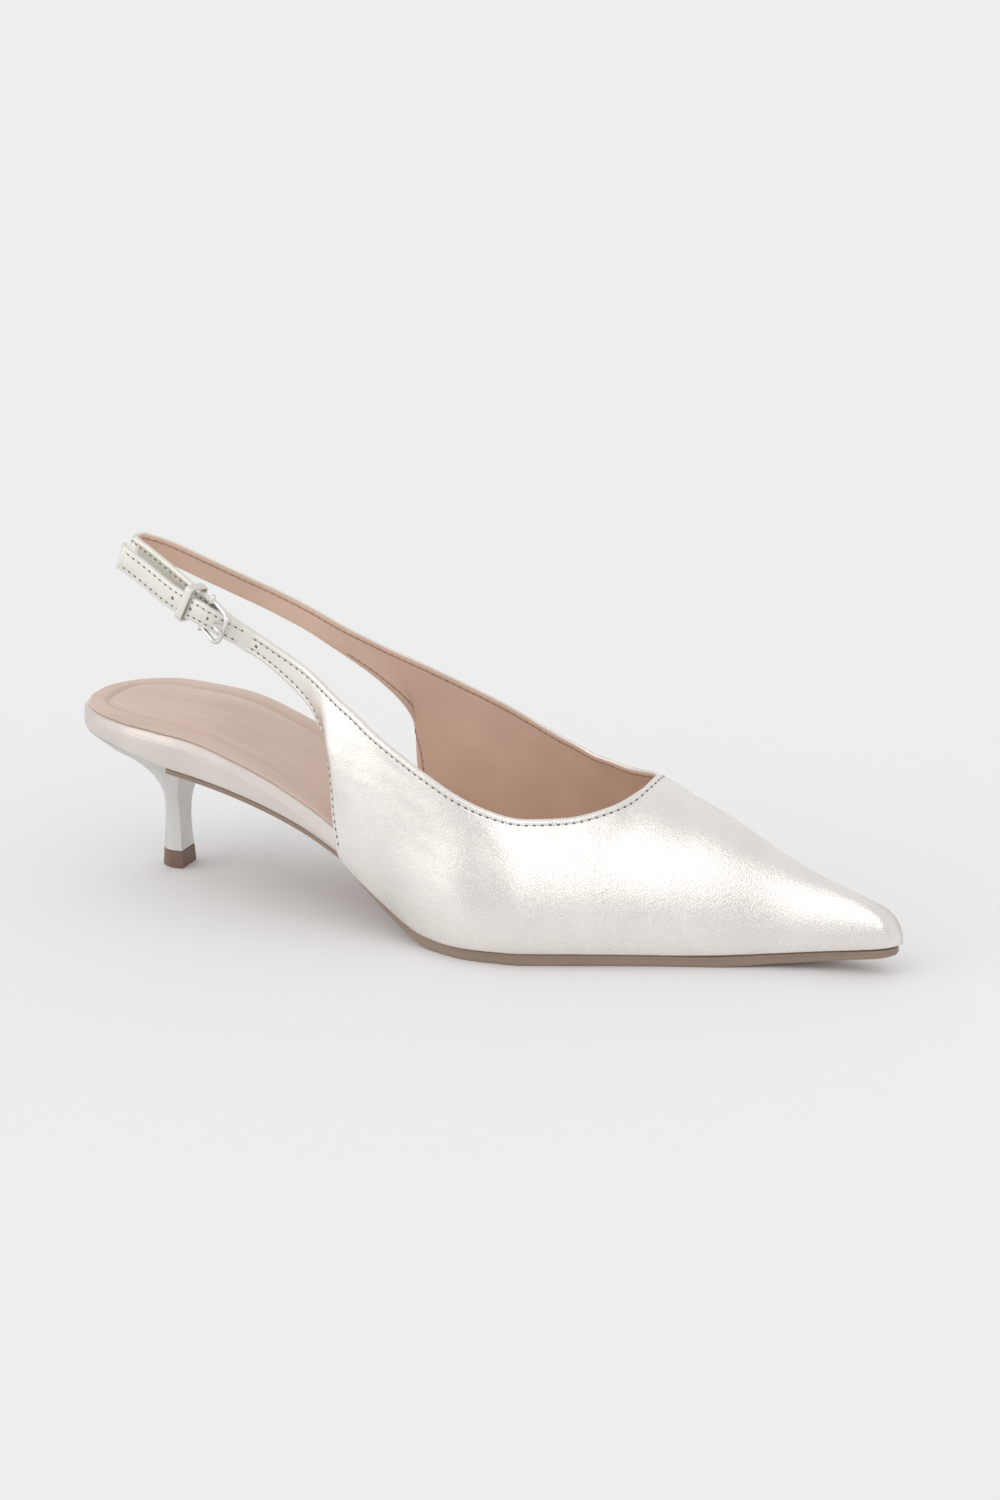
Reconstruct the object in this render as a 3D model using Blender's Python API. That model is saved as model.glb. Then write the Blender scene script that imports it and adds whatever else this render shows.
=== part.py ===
"""Pointed slingback pump with a kitten heel: the right shoe, standing empty on its sole.

Lengths are millimetres until each mesh is made. X runs from the seat to the toe, Y to the
wearer's left (the inner side of this right shoe) and Z up from the floor.
"""

import bmesh
import bpy
import numpy as np
from mathutils import Matrix, Vector

MM = 0.001

# Named sizes of the shoe
LENGTH = 267.4
BALL_WIDTH = 74.2
SEAT_HEIGHT = 50.0
STRAP_WIDTH = 7.6
WALL = 1.6
GAP = 0.3

# The board that the foot stands on
BOARD_SHARE = 0.988
BEVEL_WIDTH = 1.5
BEVEL_HEIGHT_BACK = 1.2
BEVEL_HEIGHT_FRONT = 3.4
BEVEL_END = 0.38
COVER_INSET = 1.7
COVER_THICK = 1.2
COVER_ROUND = 0.6

# Stations along the board and the outsole
STATIONS = (
    # x, share of the stations that lie behind it
    (0.0012, 0.00),
    (0.0060, 0.05),
    (0.0200, 0.12),
    (0.0500, 0.18),
    (0.1120, 0.25),
    (0.3400, 0.40),
    (0.5600, 0.68),
    (0.9300, 0.82),
    (0.9660, 0.88),
    (1.0000, 1.00),
)
STATION_COUNT = 66
STATION_APART = 0.002

# The outsole and the heel
SOLE_THICK = (
    # x, thickness
    (0.40, 1.5),
    (0.52, 3.6),
    (0.72, 3.6),
    (0.85, 3.25),
    (1.00, 2.3),
)
SOLE_START = 0.155
SOLE_END = 0.991
SOLE_EDGE = (
    # x, how far the edge stands in from the board's plan
    (0.36, 0.4),
    (0.47, 0.6),
    (1.00, 0.0),
)
HEEL_INSET = 0.7
HEEL_BACK = 0.0035
HEEL_SHOULDER = 0.35
HEEL_FLAT = 0.94
HEEL_STEPS = 22
HEEL_FLAT_STEPS = 5
SEAT_TILT_RISE = 1.0
SEAT_TILT_SLOPE = 0.0425
SEAT_TILT_POWER = 6

# The section of the upper
CROWN_POWER = (
    # x, power of the section's curve
    (0.50, 2.4),
    (0.62, 2.3),
    (0.71, 2.0),
    (0.85, 1.95),
    (1.00, 2.2),
)
FEATHER_TUCK = 1.4
TUCK_RISE = 5.0
BULGE = 1.4
DRAWN_IN = (
    # x, how far the upper and the board under it are drawn in from the plan
    (0.385, 0.0),
    (0.470, 1.5),
    (1.000, 1.5),
)
THROAT = 0.7082
TOE_ROUND = 0.974
TOE_END = 1.002
TIP_ROUND = 0.022
TOE_STAY = 9.0
TOE_STAY_FROM = 0.6
SIDE_STEPS = 60
ROWS = 13
ROW_CROWD = 0.92
TIP_CROWD = 5.0

# The loose end of the strap and its buckle
WIRE = 1.5
FRAME_LONG = 11.0
FRAME_WIDE = 11.6
FRAME_CORNER = 2.0
BUCKLE_AT = 0.2160
FRAME_LIFT = 0.45
FRAME_RISE = 2.2
PRONG = 1.2
PRONG_LIFT = 0.5
PRONG_DIP = 0.6
SLOT_LONG = 5.2
SLOT_WIDE = 1.9
SLOT_REACH = 5.0
SLOT_CLEAR = 0.05
SLOT_BEHIND = 1.0
SLOT_AHEAD = 0.6
KEEPER_AT = 0.1790
KEEPER_LONG = 2.8
KEEPER_THICK = 0.8
KEEPER_ROOM = 0.3

# Plan of the board: share of the length, then centre line and half width as shares of the ball width
PLAN = (
    # x, centre, half
    (0.000, 0.067, 0.331),
    (0.067, 0.055, 0.331),
    (0.112, 0.025, 0.335),
    (0.161, 0.000, 0.345),
    (0.232, -0.011, 0.340),
    (0.322, -0.027, 0.330),
    (0.374, -0.034, 0.344),
    (0.438, -0.040, 0.391),
    (0.494, -0.044, 0.455),
    (0.550, -0.042, 0.500),
    (0.595, -0.030, 0.495),
    (0.643, -0.019, 0.443),
    (0.699, -0.013, 0.364),
    (0.755, -0.009, 0.286),
    (0.808, -0.010, 0.213),
    (0.871, -0.009, 0.125),
    (0.931, -0.004, 0.078),
    (1.000, 0.004, 0.056),
)
SEAT_ROUND = 0.112

# Side profile: share of the length, then the top and the underside of the board as shares of seat height
PROFILE = (
    # x, top, under
    (0.000, 1.000, 0.874),
    (0.045, 1.002, 0.864),
    (0.082, 1.004, 0.852),
    (0.120, 1.006, 0.826),
    (0.161, 1.000, 0.796),
    (0.189, 0.980, 0.774),
    (0.234, 0.910, 0.724),
    (0.277, 0.828, 0.660),
    (0.322, 0.716, 0.574),
    (0.357, 0.622, 0.492),
    (0.376, 0.566, 0.440),
    (0.394, 0.514, 0.362),
    (0.433, 0.396, 0.218),
    (0.464, 0.300, 0.132),
    (0.494, 0.220, 0.082),
    (0.524, 0.166, 0.070),
    (0.550, 0.142, 0.072),
    (0.650, 0.132, 0.074),
    (0.790, 0.128, 0.068),
    (0.871, 0.152, 0.094),
    (0.931, 0.186, 0.130),
    (1.000, 0.228, 0.178),
)

# Ridge of the upper in front of the throat: share of the length, height as a share of seat height
RIDGE = (
    # x, height
    (0.7082, 0.995),
    (0.730, 0.952),
    (0.749, 0.902),
    (0.786, 0.826),
    (0.815, 0.750),
    (0.879, 0.574),
    (0.908, 0.514),
    (0.940, 0.456),
    (0.974, 0.404),
    (1.002, 0.378),
)

# Half of the band from the back of the sling to the throat. Each edge has x, half gap and height; where the
# low edge runs along the feather line only its x is given.
BAND = (
    # top x, top half gap, top z, low x, low z, low half gap
    (0.0740, 0.000, 2.104, 0.0621, 1.966, 0.000),
    (0.0775, 0.032, 2.104, 0.0656, 1.966, 0.032),
    (0.0880, 0.056, 2.088, 0.0761, 1.950, 0.056),
    (0.1020, 0.076, 2.062, 0.0900, 1.924, 0.076),
    (0.1197, 0.097, 2.022, 0.1077, 1.884, 0.097),
    (0.1571, 0.137, 1.928, 0.1451, 1.790, 0.137),
    (0.1945, 0.178, 1.834, 0.1825, 1.696, 0.178),
    (0.2319, 0.218, 1.740, 0.2206, 1.600, 0.214),
    (0.2693, 0.237, 1.650, 0.2635, 1.500, 0.225),
    (0.3029, 0.247, 1.568, 0.3050, 1.366, 0.243),
    (0.3180, 0.255, 1.532, 0.3300, 1.262, 0.263),
    (0.3290, 0.265, 1.505, 0.3480, 1.146, 0.294),
    (0.3380, 0.275, 1.482, 0.3600, 1.060, 0.321),
    (0.3460, 0.285, 1.462, 0.3680, 0.940, 0.352),
    (0.3540, 0.296, 1.440, 0.3715, 0.800, 0.372),
    (0.3620, 0.308, 1.420, 0.3740, 0.650, 0.384),
    (0.3740, 0.326, 1.388, 0.3800, None, None),
    (0.4000, 0.362, 1.322, 0.4050, None, None),
    (0.4190, 0.388, 1.264, 0.4300, None, None),
    (0.4560, 0.428, 1.172, 0.4790, None, None),
    (0.4940, 0.454, 1.080, 0.5280, None, None),
    (0.5310, 0.463, 0.988, 0.5770, None, None),
    (0.5680, 0.454, 0.914, 0.6290, None, None),
    (0.6060, 0.411, 0.868, 0.6900, None, None),
    (0.6430, 0.341, 0.866, 0.7680, None, None),
    (0.6790, 0.248, 0.902, 0.8700, None, None),
    (0.6965, 0.170, 0.938, 0.9380, None, None),
    (0.7040, 0.095, 0.966, 0.9740, None, None),
    (0.7072, 0.045, 0.985, 0.9910, None, None),
    (0.7082, 0.000, 0.995, 1.0020, None, None),
)
CORNER_ROW = [row[4] for row in BAND].index(None)
INNER_EDGE_LEAN = 0.0105
LEAN_HEIGHTS = (1.15, 1.45)

# Centre line of the top edge
TOP_CENTRE = (
    # x, offset
    (0.000, 0.000),
    (0.232, 0.000),
    (0.381, -0.013),
    (0.531, -0.024),
    (0.643, -0.013),
    (0.7082, 0.000),
    (1.000, 0.004),
)

# Loose end of the outer strap: x, offset outwards from the sling, drop below its top edge, thickness and
# how far each edge is drawn in
TAIL = (
    # x, outwards, drop, thickness, narrowing
    (0.0720, 0.092, 0.026, 1.4, 0.0),
    (0.1085, 0.070, 0.046, 1.4, 0.0),
    (0.1420, 0.060, 0.056, 1.4, 0.0),
    (0.1735, 0.056, 0.036, 1.4, 0.0),
    (0.1980, 0.052, 0.008, 1.4, 0.2),
    (0.2200, 0.030, 0.000, 1.4, 0.3),
    (0.2400, 0.006, 0.000, 1.4, 0.2),
    (0.2580, 0.000, 0.000, 1.3, 0.0),
    (0.2700, -0.008, 0.000, 0.5, 0.5),
)
TAIL_STEPS = 26

# Heel below the seat: height, back, front, half width and centre line
HEEL = (
    # z, back, front, half width, centre line
    (0.790, 0.0350, 0.1520, 0.270, 0.024),
    (0.740, 0.0540, 0.1490, 0.216, 0.016),
    (0.690, 0.0740, 0.1456, 0.182, 0.008),
    (0.640, 0.0870, 0.1422, 0.151, 0.000),
    (0.585, 0.0978, 0.1385, 0.126, -0.007),
    (0.530, 0.1040, 0.1352, 0.102, -0.013),
    (0.470, 0.1072, 0.1322, 0.077, -0.018),
    (0.400, 0.1076, 0.1314, 0.061, -0.020),
    (0.290, 0.1064, 0.1316, 0.053, -0.021),
    (0.190, 0.1052, 0.1324, 0.055, -0.021),
    (0.116, 0.1040, 0.1334, 0.060, -0.021),
)
TIP_SPREAD = 0.35


def column(table, number):
    return np.array([row[number] for row in table], float)


def smooth(table, number, at, unit):
    """A column of a table at any share of the length, joined by monotone cubic curves."""
    x = column(table, 0)
    y = column(table, number)
    return hermite(x, y, np.asarray(at, float)) * unit


def hermite(x, y, at):
    step = np.diff(x)
    rise = np.diff(y) / step
    slope = np.empty_like(y)
    slope[0] = rise[0]
    slope[-1] = rise[-1]
    for i in range(1, len(x) - 1):
        if rise[i - 1] * rise[i] <= 0:
            slope[i] = 0
            continue
        first = 2 * step[i] + step[i - 1]
        last = step[i] + 2 * step[i - 1]
        slope[i] = (first + last) / (first / rise[i - 1] + last / rise[i])
    at = np.clip(at, x[0], x[-1])
    i = np.clip(np.searchsorted(x, at, side="right") - 1, 0, len(x) - 2)
    t = (at - x[i]) / step[i]
    return (
        y[i] * (1 + 2 * t) * (1 - t) ** 2
        + slope[i] * step[i] * t * (1 - t) ** 2
        + y[i + 1] * t**2 * (3 - 2 * t)
        + slope[i + 1] * step[i] * t**2 * (t - 1)
    )


def half_width(share):
    """Half width of the board's outline, rounded off at the seat."""
    back = np.clip(1 - share / SEAT_ROUND, 0, 1)
    return smooth(PLAN, 2, share, BALL_WIDTH) * np.sqrt(1 - back**2)


def inset_place(share, last, inset):
    """Where a point of the plan goes, and its half width, when the whole outline is moved in."""
    back = np.clip(1 - share / SEAT_ROUND, 0, 1)
    tip = np.clip((share - (last - TIP_ROUND)) / TIP_ROUND, 0, 0.97)
    moved = share + (back * inset - np.clip(tip, 0, 1) * inset) / LENGTH
    half = smooth(PLAN, 2, moved, BALL_WIDTH) - inset
    return moved, half * np.sqrt(1 - back**2) * np.sqrt(1 - tip**2)


def toe_round(share):
    front = np.clip((share - TOE_ROUND) / (TOE_END - TOE_ROUND), 0, 1)
    return np.sqrt(1 - front**2)


def centre_line(share):
    return smooth(PLAN, 1, share, BALL_WIDTH)


def board_top(share):
    return smooth(PROFILE, 1, share, SEAT_HEIGHT)


def board_under(share):
    return smooth(PROFILE, 2, share, SEAT_HEIGHT)


def sole_thick(share):
    return smooth(SOLE_THICK, 1, share, 1)


def crown_power(share):
    return smooth(CROWN_POWER, 1, share, 1)


def upper_half(share):
    """Half width of the outside of the upper at the feather line."""
    added = WALL + GAP + BULGE - smooth(DRAWN_IN, 1, share, 1)
    return (smooth(PLAN, 2, share, BALL_WIDTH) + added) * toe_round(share)


def top_edge(share):
    """Half gap and height of the top edge of the upper, for shares behind the throat."""
    gap = hermite(column(BAND, 0), column(BAND, 1), share) * BALL_WIDTH
    height = hermite(column(BAND, 0), column(BAND, 2), share) * SEAT_HEIGHT
    return gap, height


def crown(share):
    """Height of the section's crown above the feather line, real only in front of the throat."""
    half = upper_half(share)
    power = crown_power(share)
    base = board_under(share)
    if share >= THROAT:
        return (smooth(RIDGE, 1, share, SEAT_HEIGHT) - base) * toe_round(share)
    gap, height = top_edge(share)
    return (height - base) / (1 - (gap / half) ** power) ** (1 / power)


def upper_point(share, angle, side):
    """A point of the outside of the upper: angle 0 is the feather line, a right angle the ridge."""
    power = crown_power(share)
    base = board_under(share)
    out = max(np.cos(angle), 0.0) ** (2 / power)
    rise = np.sin(angle) ** (2 / power) * crown(share)
    limit = top_edge(min(share, THROAT))[1] if share < THROAT else smooth(RIDGE, 1, share, SEAT_HEIGHT)
    part = np.clip(rise / max(limit - base, 1.0), 0, 1)
    middle = (1 - part) * centre_line(share) + part * smooth(TOP_CENTRE, 1, share, BALL_WIDTH)
    tuck = FEATHER_TUCK * np.exp(-rise / TUCK_RISE)
    width = max(upper_half(share) * out - tuck * out, 0.0)
    forward = share * LENGTH - tuck * hermite(np.array([0.95, 1.0]), np.array([0.0, 1.0]), share)
    return np.array([forward, middle + side * width, base + rise])


def edge_angle(share):
    """Angle at which the top edge cuts the section at this share."""
    gap = top_edge(share)[0]
    return np.arccos(np.clip((gap / upper_half(share)) ** (crown_power(share) / 2), 0, 1))


def top_point(share, side):
    gap, height = top_edge(share)
    middle = smooth(TOP_CENTRE, 1, share, BALL_WIDTH)
    return np.array([share * LENGTH, middle + side * gap, height])


def side_line(position, side):
    """One line of the band from its top edge to its low edge, at a position along the table's rows."""
    rows = np.arange(len(BAND))
    top = hermite(rows, column(BAND, 0), position)
    low = hermite(rows, column(BAND, 3), position)
    steps = np.linspace(0, 1, ROWS + 1)
    crowd = ROW_CROWD * max(0.0, (position - CORNER_ROW) / (len(BAND) - 1 - CORNER_ROW)) ** 2
    steps = steps + crowd * (steps - steps**2)
    if position >= CORNER_ROW:
        lean = INNER_EDGE_LEAN * (side > 0) * max(0.0, 1 - (position - CORNER_ROW) / 4)
        low = low + lean
        angle = edge_angle(top)
        power = 1 + TOE_STAY * max(0.0, (low - TOE_STAY_FROM) / (1 - TOE_STAY_FROM)) ** 3
        falls = 1 - steps**power if low < TOE_END else np.ones(ROWS + 1)
        return np.array(
            [upper_point(top + (low - top) * r, angle * f, side) for r, f in zip(steps, falls)]
        )
    start = top_point(top, side)
    end = low_point(position, side)
    corner = side_line(float(CORNER_ROW), side)
    chord = corner[-1] - corner[0]
    belly = corner[ROWS // 2 + 1] - corner[0] - chord * (ROWS // 2 + 1) / ROWS
    scale = (np.linalg.norm(end - start) / np.linalg.norm(chord)) ** 2
    return np.array([start + (end - start) * r + belly * scale * 4 * r * (1 - r) for r in steps])


def low_point(position, side):
    """A point of the low edge behind the corner, where the band leaves the sole."""
    rows = np.arange(CORNER_ROW + 1)
    foot_x = BAND[CORNER_ROW][3]
    foot = upper_point(foot_x + INNER_EDGE_LEAN * (side > 0), 0.0, side)
    foot_half = abs(foot[1] - smooth(TOP_CENTRE, 1, foot_x, BALL_WIDTH)) / BALL_WIDTH
    heights = [row[4] for row in BAND[:CORNER_ROW]] + [foot[2] / SEAT_HEIGHT]
    halves = [row[5] for row in BAND[:CORNER_ROW]] + [foot_half]
    height = hermite(rows, np.array(heights), position) * SEAT_HEIGHT
    half = hermite(rows, np.array(halves), position) * BALL_WIDTH
    low = hermite(np.arange(len(BAND)), column(BAND, 3), position)
    lean_low, lean_high = LEAN_HEIGHTS
    lean = np.clip((lean_high * SEAT_HEIGHT - height) / ((lean_high - lean_low) * SEAT_HEIGHT), 0, 1)
    low = low + INNER_EDGE_LEAN * (side > 0) * lean
    return np.array([low * LENGTH, smooth(TOP_CENTRE, 1, low, BALL_WIDTH) + side * half, height])


def band_positions():
    """Positions along the rows of the table, closer where the band is short."""
    rows = np.arange(len(BAND))
    line = np.array([top_point(float(s), 1) for s in column(BAND, 0)])
    foot = column(BAND, 3) * LENGTH
    reach = np.linalg.norm(np.diff(line, axis=0), axis=1) + 0.45 * np.abs(np.diff(foot)) + 0.8
    reach[-3:] += TIP_CROWD
    whole = np.concatenate([[0], np.cumsum(reach)])
    even = np.interp(np.linspace(0, whole[-1], SIDE_STEPS + 1), whole, rows)
    corner = np.argmin(np.abs(even - CORNER_ROW))
    even[corner] = CORNER_ROW
    return even


def ring_lines():
    """Lines of the closed band: round the back, the inner side, the throat, the outer side."""
    places = band_positions()
    inner = [side_line(float(p), 1) for p in places]
    outer = [side_line(float(p), -1) for p in places]
    return np.array(inner + outer[-2:0:-1])


def normals(grid):
    """Outward normals of a grid that closes on itself in its first direction."""
    along = np.roll(grid, -1, axis=0) - np.roll(grid, 1, axis=0)
    across = np.gradient(grid, axis=1)
    out = np.cross(along, across)
    return out / np.linalg.norm(out, axis=2, keepdims=True)


def solid(name, points, faces, material):
    mesh = bpy.data.meshes.new(name)
    mesh.from_pydata([tuple(p) for p in np.asarray(points) * MM], [], [tuple(f) for f in faces])
    mesh.materials.append(material)
    shape = bmesh.new()
    shape.from_mesh(mesh)
    bmesh.ops.recalc_face_normals(shape, faces=shape.faces)
    shape.to_mesh(mesh)
    shape.free()
    obj = bpy.data.objects.new(name, mesh)
    bpy.context.scene.collection.objects.link(obj)
    for polygon in mesh.polygons:
        polygon.use_smooth = True
    mesh.set_sharp_from_angle(angle=0.6)
    return obj


def ring_solid(name, outer, inner, material):
    """A closed band with thickness, from its outer and inner grids."""
    count, rows = outer.shape[:2]
    points = np.concatenate([outer.reshape(-1, 3), inner.reshape(-1, 3)])
    size = count * rows
    faces = []
    for i in range(count):
        k = (i + 1) % count
        for j in range(rows - 1):
            a, b, c, d = i * rows + j, i * rows + j + 1, k * rows + j + 1, k * rows + j
            faces.append((a, b, c, d))
            faces.append((size + d, size + c, size + b, size + a))
        first, last = k * rows, i * rows
        faces.append((last, first, size + first, size + last))
        first, last = k * rows + rows - 1, i * rows + rows - 1
        faces.append((first, last, size + last, size + first))
    return solid(name, points, faces, material)


def tube_solid(name, loops, material):
    """A solid through loops of equal count, closed by flat ends."""
    count = len(loops[0])
    points = np.concatenate(loops)
    faces = []
    for i in range(len(loops) - 1):
        for j in range(count):
            k = (j + 1) % count
            faces.append((i * count + j, (i + 1) * count + j, (i + 1) * count + k, i * count + k))
    faces.append(tuple(range(count)))
    faces.append(tuple((len(loops) - 1) * count + j for j in reversed(range(count))))
    return solid(name, points, faces, material)


def plate(name, shares, levels, across, material):
    """A plate over the board's plan, through levels that each have an inset and a height."""
    grid_top = plate_grid(shares, levels[-1], across)
    grid_low = plate_grid(shares, levels[0], across)
    count = len(shares)
    points = [*grid_top.reshape(-1, 3), *grid_low.reshape(-1, 3)]
    size = count * across
    faces = []
    for i in range(count - 1):
        for j in range(across - 1):
            a, b, c, d = i * across + j, (i + 1) * across + j, (i + 1) * across + j + 1, i * across + j + 1
            faces.append((a, b, c, d))
            faces.append((size + d, size + c, size + b, size + a))
    rim = [i * across for i in range(count)]
    rim += [(count - 1) * across + j for j in range(1, across)]
    rim += [i * across + across - 1 for i in range(count - 2, -1, -1)]
    rim += [j for j in range(across - 2, 0, -1)]
    loops = [[size + r for r in rim]]
    for level in levels[1:-1]:
        ring = plate_grid(shares, level, across).reshape(-1, 3)
        loops.append([len(points) + k for k in range(len(rim))])
        points += [ring[r] for r in rim]
    loops.append(rim)
    for low, high in zip(loops, loops[1:]):
        for k in range(len(rim)):
            m = (k + 1) % len(rim)
            faces.append((low[k], low[m], high[m], high[k]))
    return solid(name, points, faces, material)


def plate_grid(shares, level, across):
    inset, height = level
    rows = []
    for share in shares:
        moved, half = inset_place(share, shares[-1], inset(share))
        middle = centre_line(moved)
        places = np.linspace(-1, 1, across)
        rows.append([(moved * LENGTH, middle + t * half, height(moved)) for t in places])
    return np.array(rows)


def stations(first, last):
    """Shares from first to last out of one list, so that plates that touch have the same facets."""
    every = np.interp(np.linspace(0, 1, STATION_COUNT), column(STATIONS, 1), column(STATIONS, 0))
    between = every[(every > first + STATION_APART) & (every < last - STATION_APART)]
    return np.array([first, *between, last])


def material(name, colour, metallic, roughness):
    made = bpy.data.materials.new(name)
    made.use_nodes = True
    shader = made.node_tree.nodes["Principled BSDF"]
    shader.inputs["Base Color"].default_value = (*colour, 1)
    shader.inputs["Metallic"].default_value = metallic
    shader.inputs["Roughness"].default_value = roughness
    return made


def strap_axes(share):
    """Axes at the outer strap: along it to the toe, down its width, and outwards."""
    step = 0.006
    ahead = top_point(share + step, -1)
    behind = top_point(share - step, -1)
    along = (ahead - behind) / np.linalg.norm(ahead - behind)
    rows = column(BAND, 0)
    position = float(np.interp(share, rows, np.arange(len(BAND))))
    down = low_point(position, -1) - top_point(share, -1)
    down -= along * np.dot(down, along)
    down /= np.linalg.norm(down)
    return along, down, np.cross(down, along)


def tail_lines():
    """Top edge, low edge and thickness along the loose end."""
    lines = []
    for share in np.linspace(TAIL[0][0], TAIL[-1][0], TAIL_STEPS):
        along, down, out = strap_axes(share)
        outwards = hermite(column(TAIL, 0), column(TAIL, 1), share) * BALL_WIDTH
        drop = hermite(column(TAIL, 0), column(TAIL, 2), share) * SEAT_HEIGHT
        thick = hermite(column(TAIL, 0), column(TAIL, 3), share)
        narrow = hermite(column(TAIL, 0), column(TAIL, 4), share)
        top = top_point(share, -1) + np.array([0, -outwards, -drop]) + down * narrow
        lines.append((top, top + down * (STRAP_WIDTH - 2 * narrow), out * thick))
    return lines


def tail_solid(material_used):
    loops = []
    for top, low, thick in tail_lines():
        loops.append([top, low, low - thick, top - thick])
    return tube_solid("tail_helper", [np.array(loop) for loop in loops], material_used)


def buckle_place():
    """Matrix of the buckle on the outer strap, in millimetres."""
    along, down, out = strap_axes(BUCKLE_AT)
    middle = top_point(BUCKLE_AT, -1) + down * STRAP_WIDTH / 2
    place = Matrix.Identity(4)
    for row in range(3):
        place[row][0] = along[row]
        place[row][1] = down[row]
        place[row][2] = out[row]
        place[row][3] = middle[row]
    return place


def placed(points, place):
    return np.array([tuple(place @ Vector(p)) for p in points])


def swept(path, radius, sides, closed):
    """Loops of a round wire along a path of points."""
    path = np.asarray(path, float)
    loops = []
    count = len(path)
    for i in range(count):
        ahead = path[(i + 1) % count] if closed or i < count - 1 else path[i]
        behind = path[i - 1] if closed or i > 0 else path[i]
        way = (ahead - behind) / np.linalg.norm(ahead - behind)
        side = np.cross(way, (0, 0, 1))
        side /= np.linalg.norm(side)
        up = np.cross(side, way)
        turn = np.arange(sides) * 2 * np.pi / sides
        loops.append(path[i] + radius * (np.outer(np.cos(turn), side) + np.outer(np.sin(turn), up)))
    return loops


def frame_path():
    """Centre line of the buckle frame in its own axes: the bar end is low, the front end rides high."""
    long = (FRAME_LONG - WIRE) / 2
    wide = (FRAME_WIDE - WIRE) / 2
    path = []
    for corner, (sx, sy) in enumerate([(1, 1), (-1, 1), (-1, -1), (1, -1)]):
        for step in range(6):
            turn = np.pi / 2 * (corner + step / 5)
            x = sx * (long - FRAME_CORNER) + FRAME_CORNER * np.cos(turn)
            y = sy * (wide - FRAME_CORNER) + FRAME_CORNER * np.sin(turn)
            path.append((x, y, frame_level(x)))
    return path


def frame_level(x):
    long = (FRAME_LONG - WIRE) / 2
    low = FRAME_LIFT + WIRE / 2
    return low + FRAME_RISE * (x + long) / (2 * long)


def ring_of_wire(name, path, radius, place, material_used):
    loops = swept(path, radius, 8, True)
    count = len(loops[0])
    points = placed(np.concatenate(loops), place)
    faces = []
    for i in range(len(loops)):
        k = (i + 1) % len(loops)
        for j in range(count):
            m = (j + 1) % count
            faces.append((i * count + j, k * count + j, k * count + m, i * count + m))
    return solid(name, points, faces, material_used)


def cut_or_join(target, other, operation):
    other.hide_render = True
    other.display_type = "WIRE"
    modifier = target.modifiers.new(operation.lower(), "BOOLEAN")
    modifier.operation = operation
    modifier.solver = "EXACT"
    modifier.object = other


def clear_scene():
    for obj in list(bpy.data.objects):
        bpy.data.objects.remove(obj)


def make_board(silver, beige):
    shares = stations(STATIONS[0][0], BOARD_SHARE)

    def drawn_in(share):
        return smooth(DRAWN_IN, 1, share, 1)

    def low(share):
        return board_under(share) + GAP / 2

    def rim(share):
        ends = np.array([0.0, BEVEL_END])
        bevel = hermite(ends, np.array([BEVEL_HEIGHT_BACK, BEVEL_HEIGHT_FRONT]), share)
        return board_top(share) - min(bevel, 0.6 * (board_top(share) - low(share)))

    def lip(share):
        return drawn_in(share) + BEVEL_WIDTH

    plate("insole_board", shares, [(drawn_in, low), (drawn_in, rim), (lip, board_top)], 3, silver)

    def cover_low(share):
        return board_top(share) + GAP / 2

    def cover_rim(share):
        return cover_low(share) + COVER_THICK - COVER_ROUND

    def cover_top(share):
        return cover_low(share) + COVER_THICK

    def cover_edge(share):
        return drawn_in(share) + COVER_INSET

    def cover_lip(share):
        return cover_edge(share) + COVER_ROUND

    levels = [(cover_edge, cover_low), (cover_edge, cover_rim), (cover_lip, cover_top)]
    plate("insole_cover", shares, levels, 3, beige)


def make_outsole(brown):
    shares = stations(SOLE_START, SOLE_END)

    def edge(share):
        return smooth(SOLE_EDGE, 1, share, 1)

    def top(share):
        return board_under(share) - GAP / 2

    def low(share):
        return max(top(share) - sole_thick(share), 0.0)

    return plate("outsole", shares, [(edge, low), (edge, top)], 3, brown)


def heel_loop(back, front, half, middle):
    """Section of the heel: a flat front and a rounded back."""
    points = []
    widest = front - HEEL_SHOULDER * (front - back)
    for side in np.linspace(-1, 1, HEEL_FLAT_STEPS):
        points.append((front, middle + side * half * HEEL_FLAT))
    for step in range(1, HEEL_STEPS):
        turn = np.pi * step / HEEL_STEPS
        points.append((widest - (widest - back) * np.sin(turn), middle + half * np.cos(turn)))
    return points


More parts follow.
